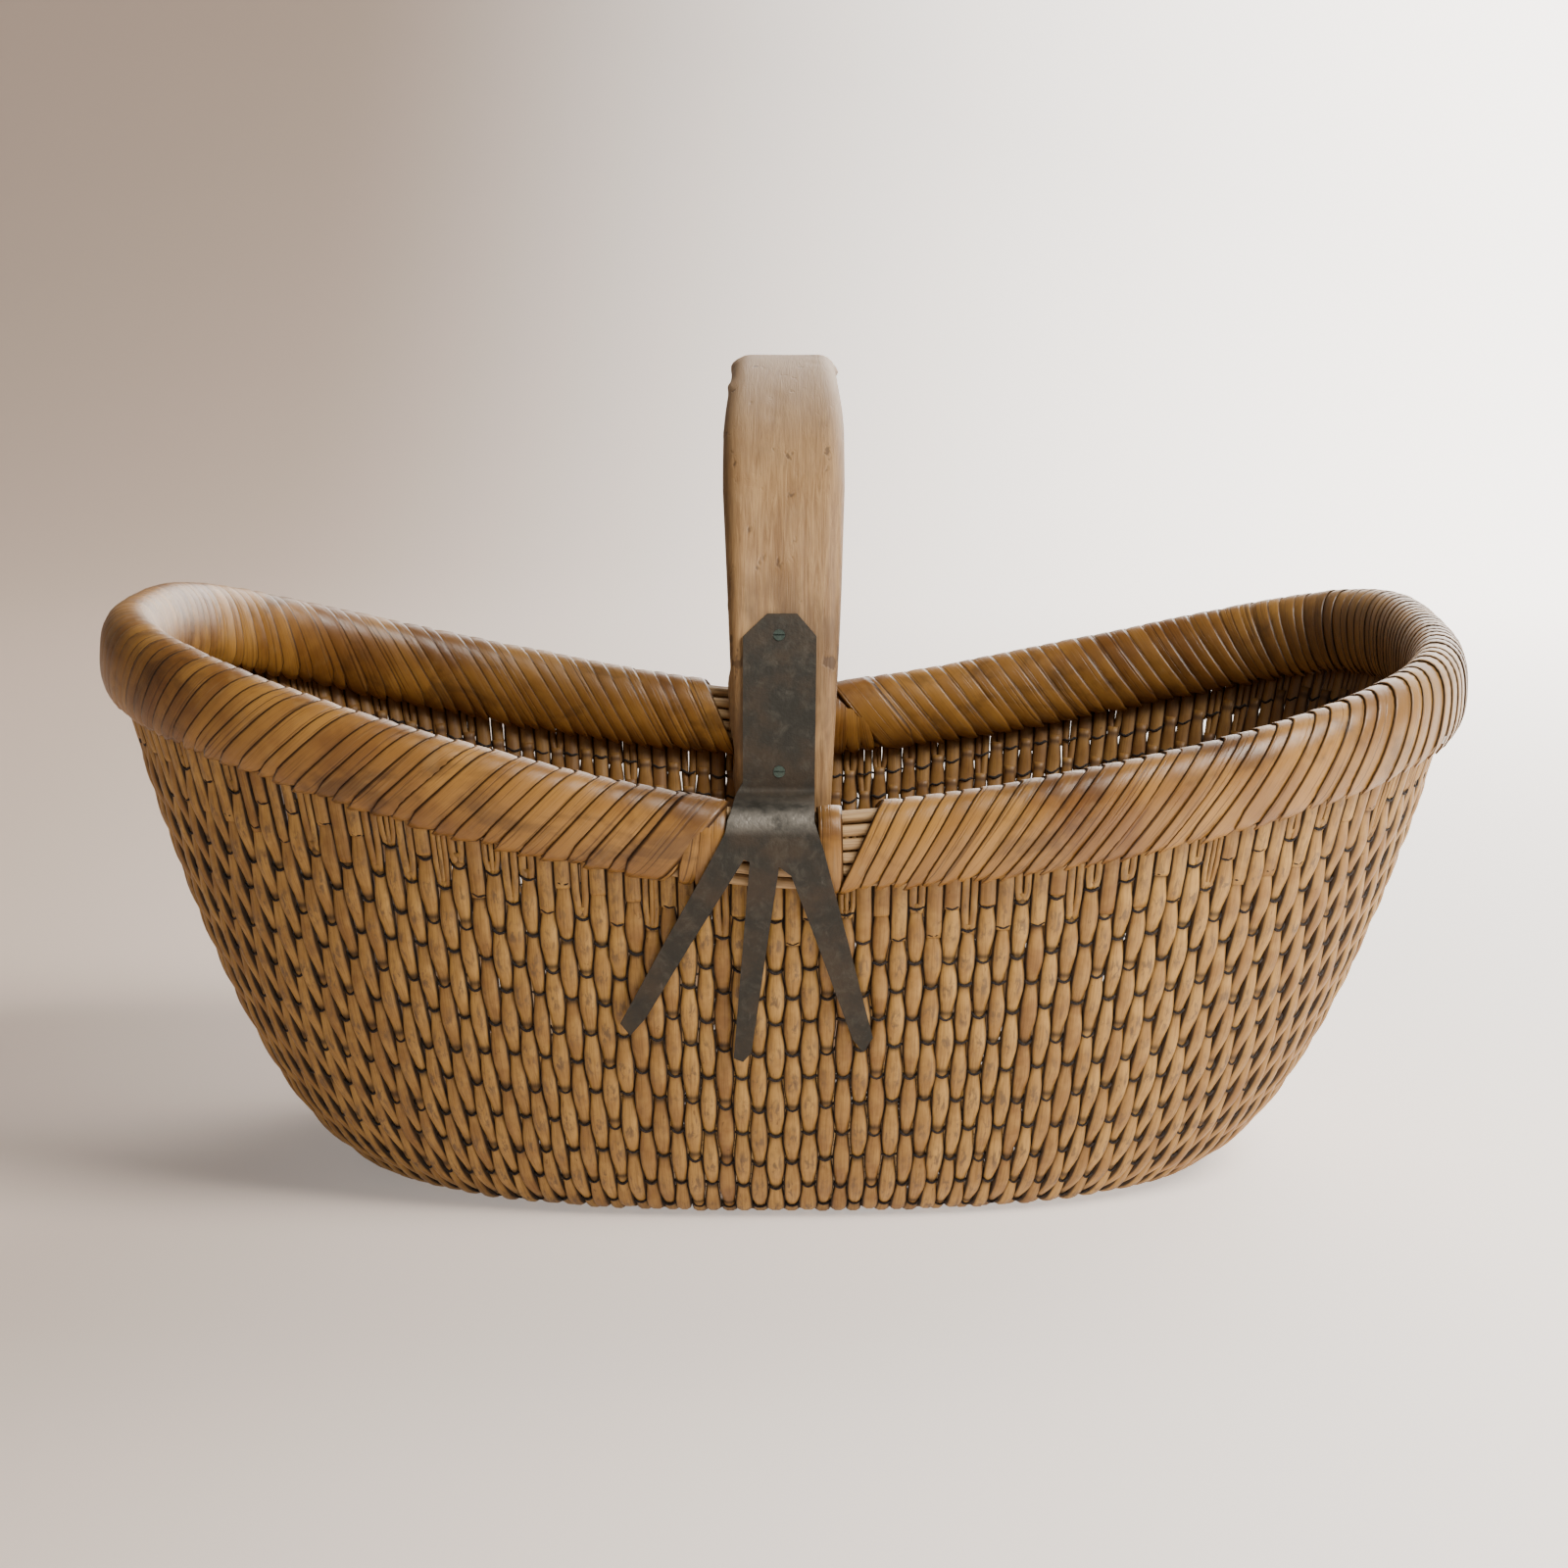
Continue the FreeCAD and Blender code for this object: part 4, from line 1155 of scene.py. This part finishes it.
@dataclass
class BaseMat:
    """Rods that close the bottom, woven with twine like the wall."""

    form: BasketForm
    loom: RodLoom
    rod_pitch: float = 7.2 * MM
    rod_thickness: float = 4.8 * MM
    tie_pitch: float = 12.5 * MM
    tie_radius: float = 0.55 * MM
    pinch: float = 0.2
    dip: float = 0.35 * MM
    inset: float = 1.0 * MM
    rod_stations: int = 96
    tie_stations: int = 300

    def _reach(self, edge: np.ndarray | float, half: float) -> np.ndarray | float:
        """Half length of a rod or tie of the mat, at a share of the way to its edge."""
        return half * (1.0 - edge ** self.form.base_squareness) ** (1.0 / self.form.base_squareness)

    def rod_guides(self) -> Guides:
        """Rods side by side along the basket."""
        count = int((self.form.base_half_length - self.rod_pitch * 0.5) / self.rod_pitch)
        x = np.arange(-count, count + 1) * self.rod_pitch
        steps = self.rod_stations
        edge = np.minimum(np.abs(x) / (self.form.base_half_length - self.inset), 0.999)
        reach = self._reach(edge, self.form.base_half_depth - self.inset)
        y = reach[:, None] * np.linspace(-1.0, 1.0, steps)[None, :]
        height = np.full_like(y, self.rod_thickness / 2.0 + self.dip)
        centre = np.stack([np.repeat(x[:, None], steps, 1), y, height], -1)
        side = np.zeros_like(centre)
        side[..., 0] = 1.0
        out = np.zeros_like(centre)
        out[..., 2] = 1.0
        beat = (y / self.tie_pitch + (np.arange(len(x)) % 2)[:, None]) / 2.0
        girth = noise_series((len(x), 1), 51, 0.95, 1.08)
        width = np.full_like(y, self.rod_pitch / 2.0) * girth
        depth = np.full_like(y, self.rod_thickness / 2.0 - self.dip * 0.4)
        return Guides(centre, side, out, width, depth, noise_series((len(x),), 52), beat)

    def twine_guides(self) -> Guides:
        """Ties across the rods, over one and under the next."""
        rows = int((self.form.base_half_depth - self.tie_pitch * 0.4) / self.tie_pitch)
        made: list[Guides] = []
        for row in range(-rows, rows + 1):
            y = row * self.tie_pitch
            edge = abs(y) / (self.form.base_half_depth - self.inset)
            length = self._reach(edge, self.form.base_half_length - self.inset)
            steps = self.tie_stations
            x = np.linspace(-length, length, steps)
            swing = over_and_under(np.pi * (x / self.rod_pitch + row))
            reach = self.rod_thickness / 2.0 - self.tie_radius * 0.5
            z = self.rod_thickness / 2.0 + self.dip + swing * reach
            centre = np.stack([x, np.full_like(x, y), z], -1)
            tangent = unit(np.gradient(centre, axis=0))
            across = np.tile(np.array([0.0, 1.0, 0.0]), (steps, 1))
            radius = np.full(steps, self.tie_radius)
            out = unit(np.cross(tangent, across))
            made.append(Guides(centre[None], across[None], out[None], radius[None], radius[None],
                               np.array([abs(row) / 12.0]), np.zeros((1, steps))))
        return Guides.joined(made)

    def build(self) -> None:
        """Makes the mat in place of its plain CAD rods."""
        rods = self.loom.weave("base_mat_rods", self.rod_guides(), PeeledWillow().material(), 10, 0.9,
                               self.pinch, self.dip, 0.0, 0.3 * MM, 61)
        hand_over(rods, ["base_rods"])
        ties = self.loom.weave("base_mat_ties", self.twine_guides(), DarkTwine().material(), 6)
        hand_over(ties)


@dataclass
class BoundRim:
    """Split-willow strips bound over the rim, and the rods that show beside the straps."""

    form: BasketForm
    loom: RodLoom
    strip_pitch: float = 8.2 * MM
    strip_overlap: float = 1.36
    strip_thickness: float = 0.8 * MM
    strip_seat: float = -0.65 * MM
    shingle: float = 1.05 * MM
    lean: float = 42.0 * MM
    skirt_degrees: float = 66.0
    stop_left: float = 26.0 * MM
    stop_right: float = 42.0 * MM
    lean_growth: float = 90.0 * MM
    tongue_tops: tuple[float, ...] = (-34.0 * MM, -31.5 * MM, -29.5 * MM, -27.0 * MM, 18.4 * MM)
    tongue_outer_runs: tuple[float, ...] = (-17.0 * MM, -9.0 * MM, -4.5 * MM, -0.5 * MM, 1.0 * MM)
    tongue_inner_runs: tuple[float, ...] = (-9.0 * MM, -3.5 * MM, 2.0 * MM, 1.5 * MM, 1.0 * MM)
    tongue_widths: tuple[float, ...] = (8.5 * MM, 9.5 * MM, 8.0 * MM, 7.5 * MM, 10.4 * MM)
    rod_radius: float = 2.45 * MM
    rod_clearance: float = 0.4 * MM
    rod_inset: float = 4.3 * MM
    stake_room: float = 5.2 * MM
    rod_stations: int = 110
    rod_gap: float = 0.0004
    sides: int = 8
    stations: int = 30
    end_ease: float = 0.30
    least_lean: float = 0.10
    inner_lean: float = 0.8
    run_factor: float = 1.15
    run_softness: float = 0.006
    crown: float = 0.55 * MM
    crown_degrees: float = 96.0
    crown_spread: float = 20.0
    least_spacing: float = 3.0 * MM
    most_spacing: float = 1.6
    tip_share: float = 0.42
    tip_shift: float = 0.9 * MM
    tongue_start: float = -70.0
    tongue_turn: float = 312.0
    tongue_seat: float = 0.35 * MM
    tongue_step: float = 0.12 * MM
    tongue_tuck: float = 1.5 * MM

    def _strip_places(self) -> np.ndarray:
        """Distances round the rim where strips cross its top, bare beside both straps."""
        half = self.form.perimeter / 2.0
        count = int((half - self.stop_left - self.stop_right) / self.strip_pitch)
        place = self.stop_right + (half - self.stop_left - self.stop_right) * (np.arange(count) + 0.5) / count
        return np.concatenate([place, place + half])

    def _lean_at(self, place: np.ndarray) -> tuple[np.ndarray, np.ndarray]:
        """Run of a strip along the rim on its outer and inner legs."""
        half = self.form.perimeter / 2.0
        within = np.mod(place, half)
        centre = self.form.rim_frame(place / self.form.perimeter)[0]
        end = np.clip(1.0 - np.abs(centre[..., 0]) / self.form.rim_half_length, 0.0, 1.0)
        ease = np.minimum(end / self.end_ease, 1.0) ** 0.7
        leaning = self.least_lean + (1.0 - self.least_lean) * ease
        outer = self.lean * leaning
        start = np.clip((within - self.stop_right) / self.lean_growth, 0.0, 1.0)
        last = np.clip((half - self.stop_left - within) / self.lean_growth, 0.0, 1.0)
        outer = outer * (0.52 + 0.48 * start) * (0.78 + 0.22 * last)
        inner = self.lean * self.inner_lean * leaning * (0.60 + 0.40 * start)
        return outer, inner

    def strip_guides(self) -> Guides:
        """Strips from the outer skirt, over the top and down inside."""
        place = self._strip_places()
        count = len(place)
        place = place + noise_series((count,), 71, -0.7, 0.7) * MM
        outer, inner = self._lean_at(place)
        reach_out = self.skirt_degrees + noise_series((count,), 72, -12.0, 9.0)
        reach_in = self.skirt_degrees + noise_series((count,), 73, -6.0, 3.0)
        t = np.linspace(0.0, 1.0, self.stations)[None, :]
        angles, distance = self.form.section_table
        first = np.interp(-reach_out, angles, distance)[:, None]
        final = np.interp(180.0 + reach_in, angles, distance)[:, None]
        walk = first + (final - first) * t
        degrees = np.interp(walk, distance, angles)
        down = walk / distance[-1]
        soft = np.sqrt(down * down + self.run_softness) - math.sqrt(self.run_softness)
        run = np.where(walk < 0.0, -outer[:, None] * soft, -inner[:, None] * soft) * self.run_factor
        fraction = (place[:, None] + run) / self.form.perimeter
        crown = self.crown * np.exp(-((degrees - self.crown_degrees) / self.crown_spread) ** 2)
        lift = self.strip_seat + crown + noise_series((count, 1), 74, -0.12, 0.20) * MM
        centre = self.form.rim_skin(fraction, degrees, lift)
        normal = self.form.rim_normal(fraction, degrees, lift)
        tangent = unit(np.gradient(centre, axis=1))
        side = unit(np.cross(normal, tangent))
        normal = unit(np.cross(tangent, side))
        step = np.abs(np.sum((np.roll(centre, -1, axis=0) - centre) * side, -1))
        spacing = np.clip(step, self.least_spacing, self.most_spacing * self.strip_pitch)
        width = spacing * self.strip_overlap / 2.0 * noise_series((count, 1), 75, 0.92, 1.12)
        tip = np.clip(np.minimum(t, 1.0 - t) * self.stations / 2.2, 0.0, 1.0)
        width = width * (self.tip_share + (1.0 - self.tip_share) * tip)
        shift = (1.0 - tip) * self.tip_shift
        tilt = self.shingle / (2.0 * width[..., None])
        leaning = unit(side + normal * tilt)
        out = unit(normal - side * tilt)
        centre = centre + side * shift[..., None]
        depth = np.full_like(width, self.strip_thickness / 2.0)
        return Guides(centre, leaning, out, width, depth, noise_series((count,), 76),
                      np.full_like(width, 0.5))

    def tongue_guides(self) -> Guides:
        """Short upright strips that close the binding on both sides of each strap."""
        half = self.form.perimeter / 2.0
        tops = np.array(self.tongue_tops)
        place = np.concatenate([tops, tops + half])
        outer, inner, wide = (np.tile(np.array(values), 2) for values in
                              (self.tongue_outer_runs, self.tongue_inner_runs, self.tongue_widths))
        count = len(place)
        t = np.linspace(0.0, 1.0, self.stations)[None, :]
        degrees = self.tongue_start + self.tongue_turn * t + np.zeros((count, 1))
        down = np.abs(90.0 - degrees) / 150.0
        run = np.where(degrees < 90.0, outer[:, None], inner[:, None]) * down
        fraction = (place[:, None] + run) / self.form.perimeter
        order = (np.arange(count) % len(tops))[:, None]
        tucked = np.clip((degrees - 15.0) / 55.0, 0.0, 1.0) * np.clip((165.0 - degrees) / 40.0, 0.0, 1.0)
        tucked = tucked * (order < len(tops) - 1)
        lift = self.strip_seat - self.tongue_seat + self.tongue_step * order - self.tongue_tuck * tucked
        centre = self.form.rim_skin(fraction, degrees, lift)
        normal = self.form.rim_normal(fraction, degrees, lift)
        tangent = unit(np.gradient(centre, axis=1))
        side = unit(np.cross(normal, tangent))
        tip = np.clip(np.minimum(t, 1.0 - t) * self.stations / 4.0, 0.0, 1.0)
        width = wide[:, None] / 2.0 * (0.45 + 0.55 * tip ** 0.7)
        depth = np.full_like(width, self.strip_thickness / 2.0)
        return Guides(centre, side, unit(np.cross(tangent, side)), width, depth,
                      noise_series((count,), 77), np.full_like(width, 0.5))

    def _rod_height(self, offset: float) -> float:
        """Height on the core rods' line at a distance from the middle of the rim."""
        reach = self.form.section_half_thickness - self.rod_inset
        tall = self.form.section_half_height - self.rod_inset
        power = self.form.section_squareness
        return tall * (1.0 - abs(offset / reach) ** power) ** (1.0 / power)

    def _rod_offset(self, height: float) -> float:
        """Distance from the middle of the rim at a height on the core rods' line."""
        reach = self.form.section_half_thickness - self.rod_inset
        tall = self.form.section_half_height - self.rod_inset
        power = self.form.section_squareness
        return reach * (1.0 - abs(height / tall) ** power) ** (1.0 / power)

    def rod_seats(self) -> dict[str, list[tuple[float, float]]]:
        """Sideways and upward places of the outer, inner and top rods."""
        pitch = 2.0 * self.rod_radius + self.rod_clearance
        lowest = -self._rod_height(self.stake_room)
        offset = pitch / 2.0
        top = self._rod_height(offset) - self.rod_clearance
        count = 1 + int((top - 0.75 * pitch - lowest) / pitch)
        heights = [lowest + pitch * step for step in range(count)]
        outer = [(self._rod_offset(height), height) for height in heights]
        return {"outer": outer, "inner": [(-across, up) for across, up in outer],
                "top": [(-offset, top), (offset, top)]}

    def rod_guides(self, seats: Sequence[tuple[float, float]], start: float, end: float, seed: int) -> Guides:
        """Long rods at the given seats between two fractions of the rim."""
        fraction = np.linspace(start, end, self.rod_stations)
        centre, outward, swell = self.form.rim_frame(fraction)
        paths = []
        for across, up in seats:
            path = centre + outward * across
            path[:, 2] += up * swell
            paths.append(path)
        path = np.stack(paths)
        tangent = unit(np.gradient(path, axis=1))
        facing = np.broadcast_to(outward, path.shape)
        out = unit(facing - tangent * np.sum(facing * tangent, -1, keepdims=True))
        side = np.cross(tangent, out)
        girth = np.full(path.shape[:2], self.rod_radius)
        return Guides(path, side, out, girth, girth, noise_series((len(seats),), seed), np.zeros_like(girth))

    def build_rods(self, nodes: Sequence[str]) -> None:
        """Makes round rods in place of the rim's plain CAD ones."""
        finish = RimRodWillow().material()
        for half, start, end in (("front", -0.25, 0.25), ("rear", 0.25, 0.75)):
            for number, (place, seats) in enumerate(self.rod_seats().items()):
                node = f"rim_{place}_rods_{half}"
                if node not in nodes:
                    raise RuntimeError(node + " is missing from the frame")
                guides = self.rod_guides(seats, start + self.rod_gap, end - self.rod_gap, 91 + number)
                piece = self.loom.weave(f"core_rods_{place}_{half}", guides, finish, 10, 1.0, 0.0, 0.0, 0.0,
                                        0.5 * MM, 91 + number)
                hand_over(piece, [node])

    def build_binding(self) -> None:
        """Makes the strips of every quarter in place of the plain binding."""
        finish = SplitWillow().material()
        strips = Guides.joined([self.strip_guides(), self.tongue_guides()])
        top = strips.centre[:, self.stations // 2]
        quarter = quarter_of(top[:, 0], top[:, 1])
        for index, name in enumerate(QUARTERS):
            piece = self.loom.weave("willow_strips_" + name, strips.part(quarter == index), finish,
                                    self.sides, 0.8, 0.0, 0.0, 0.34 * MM, 0.35 * MM, 81 + index)
            hand_over(piece, ["rim_binding_" + name])


@dataclass
class BowHandle:
    """Bentwood bow, broad on top, with rounded and knocked edges."""

    form: BasketForm
    top_height: float
    outer_reach: float
    foot_height: float
    top_width: float = 50.5 * MM
    taper_height: float = 315.0 * MM
    taper: float = 0.09
    thickness: float = 15.0 * MM
    foot_corner: float = 4.6 * MM
    grip_corner: float = 7.4 * MM
    grip_start: float = 110.0 * MM
    crest_narrowing: float = 5.5 * MM
    crest_depth: float = 24.0 * MM
    shoulder_squareness: float = 2.2
    steps: int = 220
    unevenness: float = 0.9 * MM
    wave_scale: float = 38.0
    wave_stretch: float = 11.0
    dent_scale: float = 120.0
    dent_stretch: float = 60.0
    dent_rarity: float = 0.38
    dent_depth: float = 5.0
    face_share: float = 0.55

    def _line(self) -> tuple[np.ndarray, np.ndarray]:
        """Outer face of the bow and its normal in the Y-Z plane."""
        spring = self.form.rim_low_height + self.form.section_half_height
        foot = np.linspace(self.foot_height, spring, 14, endpoint=False)
        turn = np.linspace(0.0, np.pi, self.steps)
        rise = self.top_height - spring
        bow = BasketForm.outline_point(turn, self.outer_reach, rise, self.shoulder_squareness)
        upright = np.full(len(foot), self.outer_reach)
        y = np.concatenate([-upright, -bow[:, 0], upright])
        z = np.concatenate([foot, spring + bow[:, 1], foot[::-1]])
        points = np.stack([y, z], -1)
        steps = np.linalg.norm(np.diff(points, axis=0), axis=1)
        along = np.concatenate([[0.0], np.cumsum(steps)])
        even = np.linspace(0.0, along[-1], self.steps)
        points = np.stack([np.interp(even, along, points[:, axis]) for axis in (0, 1)], -1)
        tangent = unit(np.gradient(points, axis=0))
        return points, np.stack([-tangent[:, 1], tangent[:, 0]], -1)

    def _section(self, width: float, radius: float) -> tuple[np.ndarray, np.ndarray]:
        """Rounded section as sideways and outward distances, evenly divided."""
        half, deep = width / 2.0, self.thickness / 2.0
        face = np.linspace(-(half - radius), half - radius, 13)
        edge = np.linspace(-(deep - radius), deep - radius, 5)
        bend = np.linspace(0.0, np.pi / 2.0, 6)[1:-1]
        x: list[np.ndarray] = []
        n: list[np.ndarray] = []
        for turn in range(4):
            straight = face if turn % 2 == 0 else edge
            reach_x, reach_n = (half, deep) if turn % 2 == 0 else (deep, half)
            local_x = np.concatenate([-straight, -(reach_x - radius) - radius * np.sin(bend)])
            rounded = reach_n - radius + radius * np.cos(bend)
            local_n = np.concatenate([np.full(len(straight), reach_n), rounded])
            angle = turn * np.pi / 2.0
            x.append(local_x * math.cos(angle) - local_n * math.sin(angle))
            n.append(local_x * math.sin(angle) + local_n * math.cos(angle))
        return np.concatenate(x), np.concatenate(n)

    def build(self, node: str) -> None:
        """Makes the bow in place of its CAD node."""
        line, normal = self._line()
        steps = len(line)
        along = np.concatenate([[0.0], np.cumsum(np.linalg.norm(np.diff(line, axis=0), axis=1))])
        ring = len(self._section(self.top_width, self.foot_corner)[0])
        points = np.zeros((steps, ring, 3))
        local = np.zeros((steps, ring, 3))
        for index in range(steps):
            below_top = self.top_height - line[index, 1]
            width = self.top_width - self.taper * max(self.taper_height - line[index, 1], 0.0)
            width -= self.crest_narrowing * max(1.0 - below_top / self.crest_depth, 0.0) ** 2
            round_off = min(max(1.0 - below_top / self.grip_start, 0.0) * 2.0, 1.0)
            x, n = self._section(width, self.foot_corner + (self.grip_corner - self.foot_corner) * round_off)
            inset = n - self.thickness / 2.0
            points[index, :, 0] = x
            points[index, :, 1] = line[index, 0] + normal[index, 0] * inset
            points[index, :, 2] = line[index, 1] + normal[index, 1] * inset
            local[index] = np.stack([x, n, np.full(ring, along[index])], -1)
        points += self._knocks(points, local, normal)
        self._emit(node, points, local)

    def _knocks(self, points: np.ndarray, local: np.ndarray, normal: np.ndarray) -> np.ndarray:
        """Small dents and hand-cut unevenness, always into the wood."""
        moved = np.zeros_like(points)
        for index in range(points.shape[0]):
            for turn in range(points.shape[1]):
                x, n, along = local[index, turn]
                slow = Vector((x * self.wave_scale, n * self.wave_scale, along * self.wave_stretch))
                wave = noise.noise(slow)
                spot = Vector((x * self.dent_scale + 9.0, n * self.dent_scale, along * self.dent_stretch))
                dent = max(noise.noise(spot) - self.dent_rarity, 0.0)
                inward = -(0.5 + 0.5 * wave) * self.unevenness - dent * self.dent_depth * self.unevenness
                half = abs(x) / (self.top_width / 2.0)
                moved[index, turn, 0] = math.copysign(inward * half, x) * (1.0 if x else 0.0)
                push = inward * self.face_share * (n / (self.thickness / 2.0))
                moved[index, turn, 1] = normal[index, 0] * push
                moved[index, turn, 2] = normal[index, 1] * push
        return moved

    def _emit(self, node: str, points: np.ndarray, local: np.ndarray) -> None:
        """Turns the rings into a closed mesh."""
        steps, ring = points.shape[:2]
        index = np.arange(steps * ring).reshape(steps, ring)
        after = np.roll(index, -1, axis=1)
        quads = np.stack([index[:-1], index[1:], after[1:], after[:-1]], -1).reshape(-1, 4)
        faces = [tuple(int(value) for value in quad) for quad in quads]
        faces.append(tuple(int(value) for value in index[0]))
        faces.append(tuple(int(value) for value in index[-1][::-1]))
        mesh = bpy.data.meshes.new("bow_handle")
        mesh.from_pydata([tuple(point) for point in points.reshape(-1, 3)], [], faces)
        layer = mesh.attributes.new("rod_space", "FLOAT_VECTOR", "POINT")
        layer.data.foreach_set("vector", local.astype(np.float32).ravel())
        mesh.materials.append(BowWood().material())
        work = bmesh.new()
        work.from_mesh(mesh)
        bmesh.ops.recalc_face_normals(work, faces=work.faces)
        work.to_mesh(mesh)
        work.free()
        mesh.polygons.foreach_set("use_smooth", [True] * len(mesh.polygons))
        piece = bpy.data.objects.new("bow_handle", mesh)
        bpy.context.scene.collection.objects.link(piece)
        hand_over(piece, [node])


@dataclass
class IronStraps:
    """Forked straps and their screws, kept from the CAD and given their finish."""

    names: tuple[str, ...] = ("front_strap", "rear_strap", "front_screw_upper", "front_screw_lower",
                              "rear_screw_upper", "rear_screw_lower")
    edge_wear: float = 0.25 * MM
    edge_degrees: float = 50.0
    screw_scale: Colour = (0.020, 0.030, 0.024)
    screw_patina: Colour = (0.055, 0.080, 0.064)

    def build(self, nodes: dict[str, bpy.types.Object]) -> None:
        """Dresses the ironwork."""
        iron = ForgedIron().material()
        screw = ForgedIron("patinated_screw", self.screw_scale, self.screw_patina).material()
        for name in self.names:
            node = nodes[name]
            node.data.materials.clear()
            node.data.materials.append(screw if "screw" in name else iron)
            edge = node.modifiers.new("worn_edge", "BEVEL")
            edge.width = self.edge_wear
            edge.segments = 2
            edge.limit_method = "ANGLE"
            edge.angle_limit = math.radians(self.edge_degrees)
            log.info("%s: dressed", name)


# ---- studio ----------------------------------------------------------------

class Softness(Enum):
    """Edge length of each kind of lamp, in metres."""

    KEY = 1.2
    FILL = 3.2
    RIM = 2.2


@dataclass(frozen=True)
class Lamp:
    """One soft box."""

    name: str
    place: tuple[float, float, float]
    power: float
    softness: Softness
    colour: Colour

    def hang(self, target: Vector) -> None:
        """Puts the lamp up, looking at a point."""
        data = bpy.data.lights.new(self.name, "AREA")
        data.energy = self.power
        data.size = self.softness.value
        data.color = self.colour
        lamp = bpy.data.objects.new(self.name, data)
        bpy.context.scene.collection.objects.link(lamp)
        lamp.location = self.place
        lamp.rotation_euler = (target - Vector(self.place)).to_track_quat("-Z", "Y").to_euler()


@dataclass
class Studio:
    """Pale paper, soft lamps and the camera."""

    camera_distance: float = 1.956
    camera_height: float = 0.4677
    camera_pitch: float = 8.81
    lens: float = 99.9
    sensor: float = 36.0
    lamps: tuple[Lamp, ...] = (
        Lamp("key", (1.5, -1.2, 2.0), 112.0, Softness.KEY, (1.0, 0.955, 0.89)),
        Lamp("fill", (-1.9, -2.4, 1.2), 9.0, Softness.FILL, (1.0, 0.97, 0.94)),
        Lamp("back", (0.9, 1.9, 1.7), 46.0, Softness.RIM, (1.0, 0.98, 0.95)),
    )
    daylight: Colour = (0.82, 0.79, 0.76)
    daylight_strength: float = 0.20
    paper_half: float = 5.0
    cove_start: float = 2.2
    cove_radius: float = 1.4
    wall_height: float = 4.0
    cove_steps: int = 12
    lamp_target: tuple[float, float, float] = (0.0, 0.0, 0.16)
    far_clip: float = 50.0

    def build(self) -> None:
        """Sets up everything round the basket."""
        self._paper()
        for lamp in self.lamps:
            lamp.hang(Vector(self.lamp_target))
        self._sky()
        self._camera()

    def _paper(self) -> None:
        """One sheet: floor, a wide bend and a wall behind."""
        profile = [(-self.paper_half, 0.0), (self.cove_start, 0.0)]
        for index in range(1, self.cove_steps + 1):
            angle = index / self.cove_steps * math.pi / 2.0
            profile.append((self.cove_start + self.cove_radius * math.sin(angle),
                            self.cove_radius * (1.0 - math.cos(angle))))
        profile.append((self.cove_start + self.cove_radius, self.wall_height))
        points = [(side * self.paper_half, y, z) for side in (-1.0, 1.0) for y, z in profile]
        count = len(profile)
        faces = [(index, count + index, count + index + 1, index + 1) for index in range(count - 1)]
        mesh = bpy.data.meshes.new("paper")
        mesh.from_pydata(points, [], faces)
        mesh.polygons.foreach_set("use_smooth", [True] * len(mesh.polygons))
        mesh.materials.append(StudioPaper().material())
        paper = bpy.data.objects.new("paper", mesh)
        bpy.context.scene.collection.objects.link(paper)

    def _sky(self) -> None:
        """Even light from all round."""
        world = bpy.data.worlds.new("studio")
        world.use_nodes = True
        background = world.node_tree.nodes["Background"]
        background.inputs["Color"].default_value = (*self.daylight, 1.0)
        background.inputs["Strength"].default_value = self.daylight_strength
        bpy.context.scene.world = world

    def _camera(self) -> None:
        """Camera in front of the basket, a little above its rim."""
        data = bpy.data.cameras.new("camera")
        data.lens = self.lens
        data.sensor_width = self.sensor
        data.clip_end = self.far_clip
        camera = bpy.data.objects.new("camera", data)
        bpy.context.scene.collection.objects.link(camera)
        camera.location = (0.0, -self.camera_distance, self.camera_height)
        camera.rotation_euler = (math.radians(90.0 - self.camera_pitch), 0.0, 0.0)
        bpy.context.scene.camera = camera


def main() -> None:
    """Dresses the frame, piece by piece."""
    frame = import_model()
    nodes: dict[str, bpy.types.Object] = frame["nodes"]
    form = BasketForm()
    loom = RodLoom()
    WovenWall(form, loom).build(list(nodes))
    BaseMat(form, loom).build()
    rim = BoundRim(form, loom)
    rim.build_binding()
    rim.build_rods(list(nodes))
    low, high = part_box("bentwood_handle")
    BowHandle(form, top_height=high.z, outer_reach=high.y, foot_height=low.z).build("bentwood_handle")
    IronStraps().build(nodes)
    Studio().build()


if __name__ == "__main__":
    logging.basicConfig(level=logging.INFO, format="%(name)s: %(message)s")
    main()
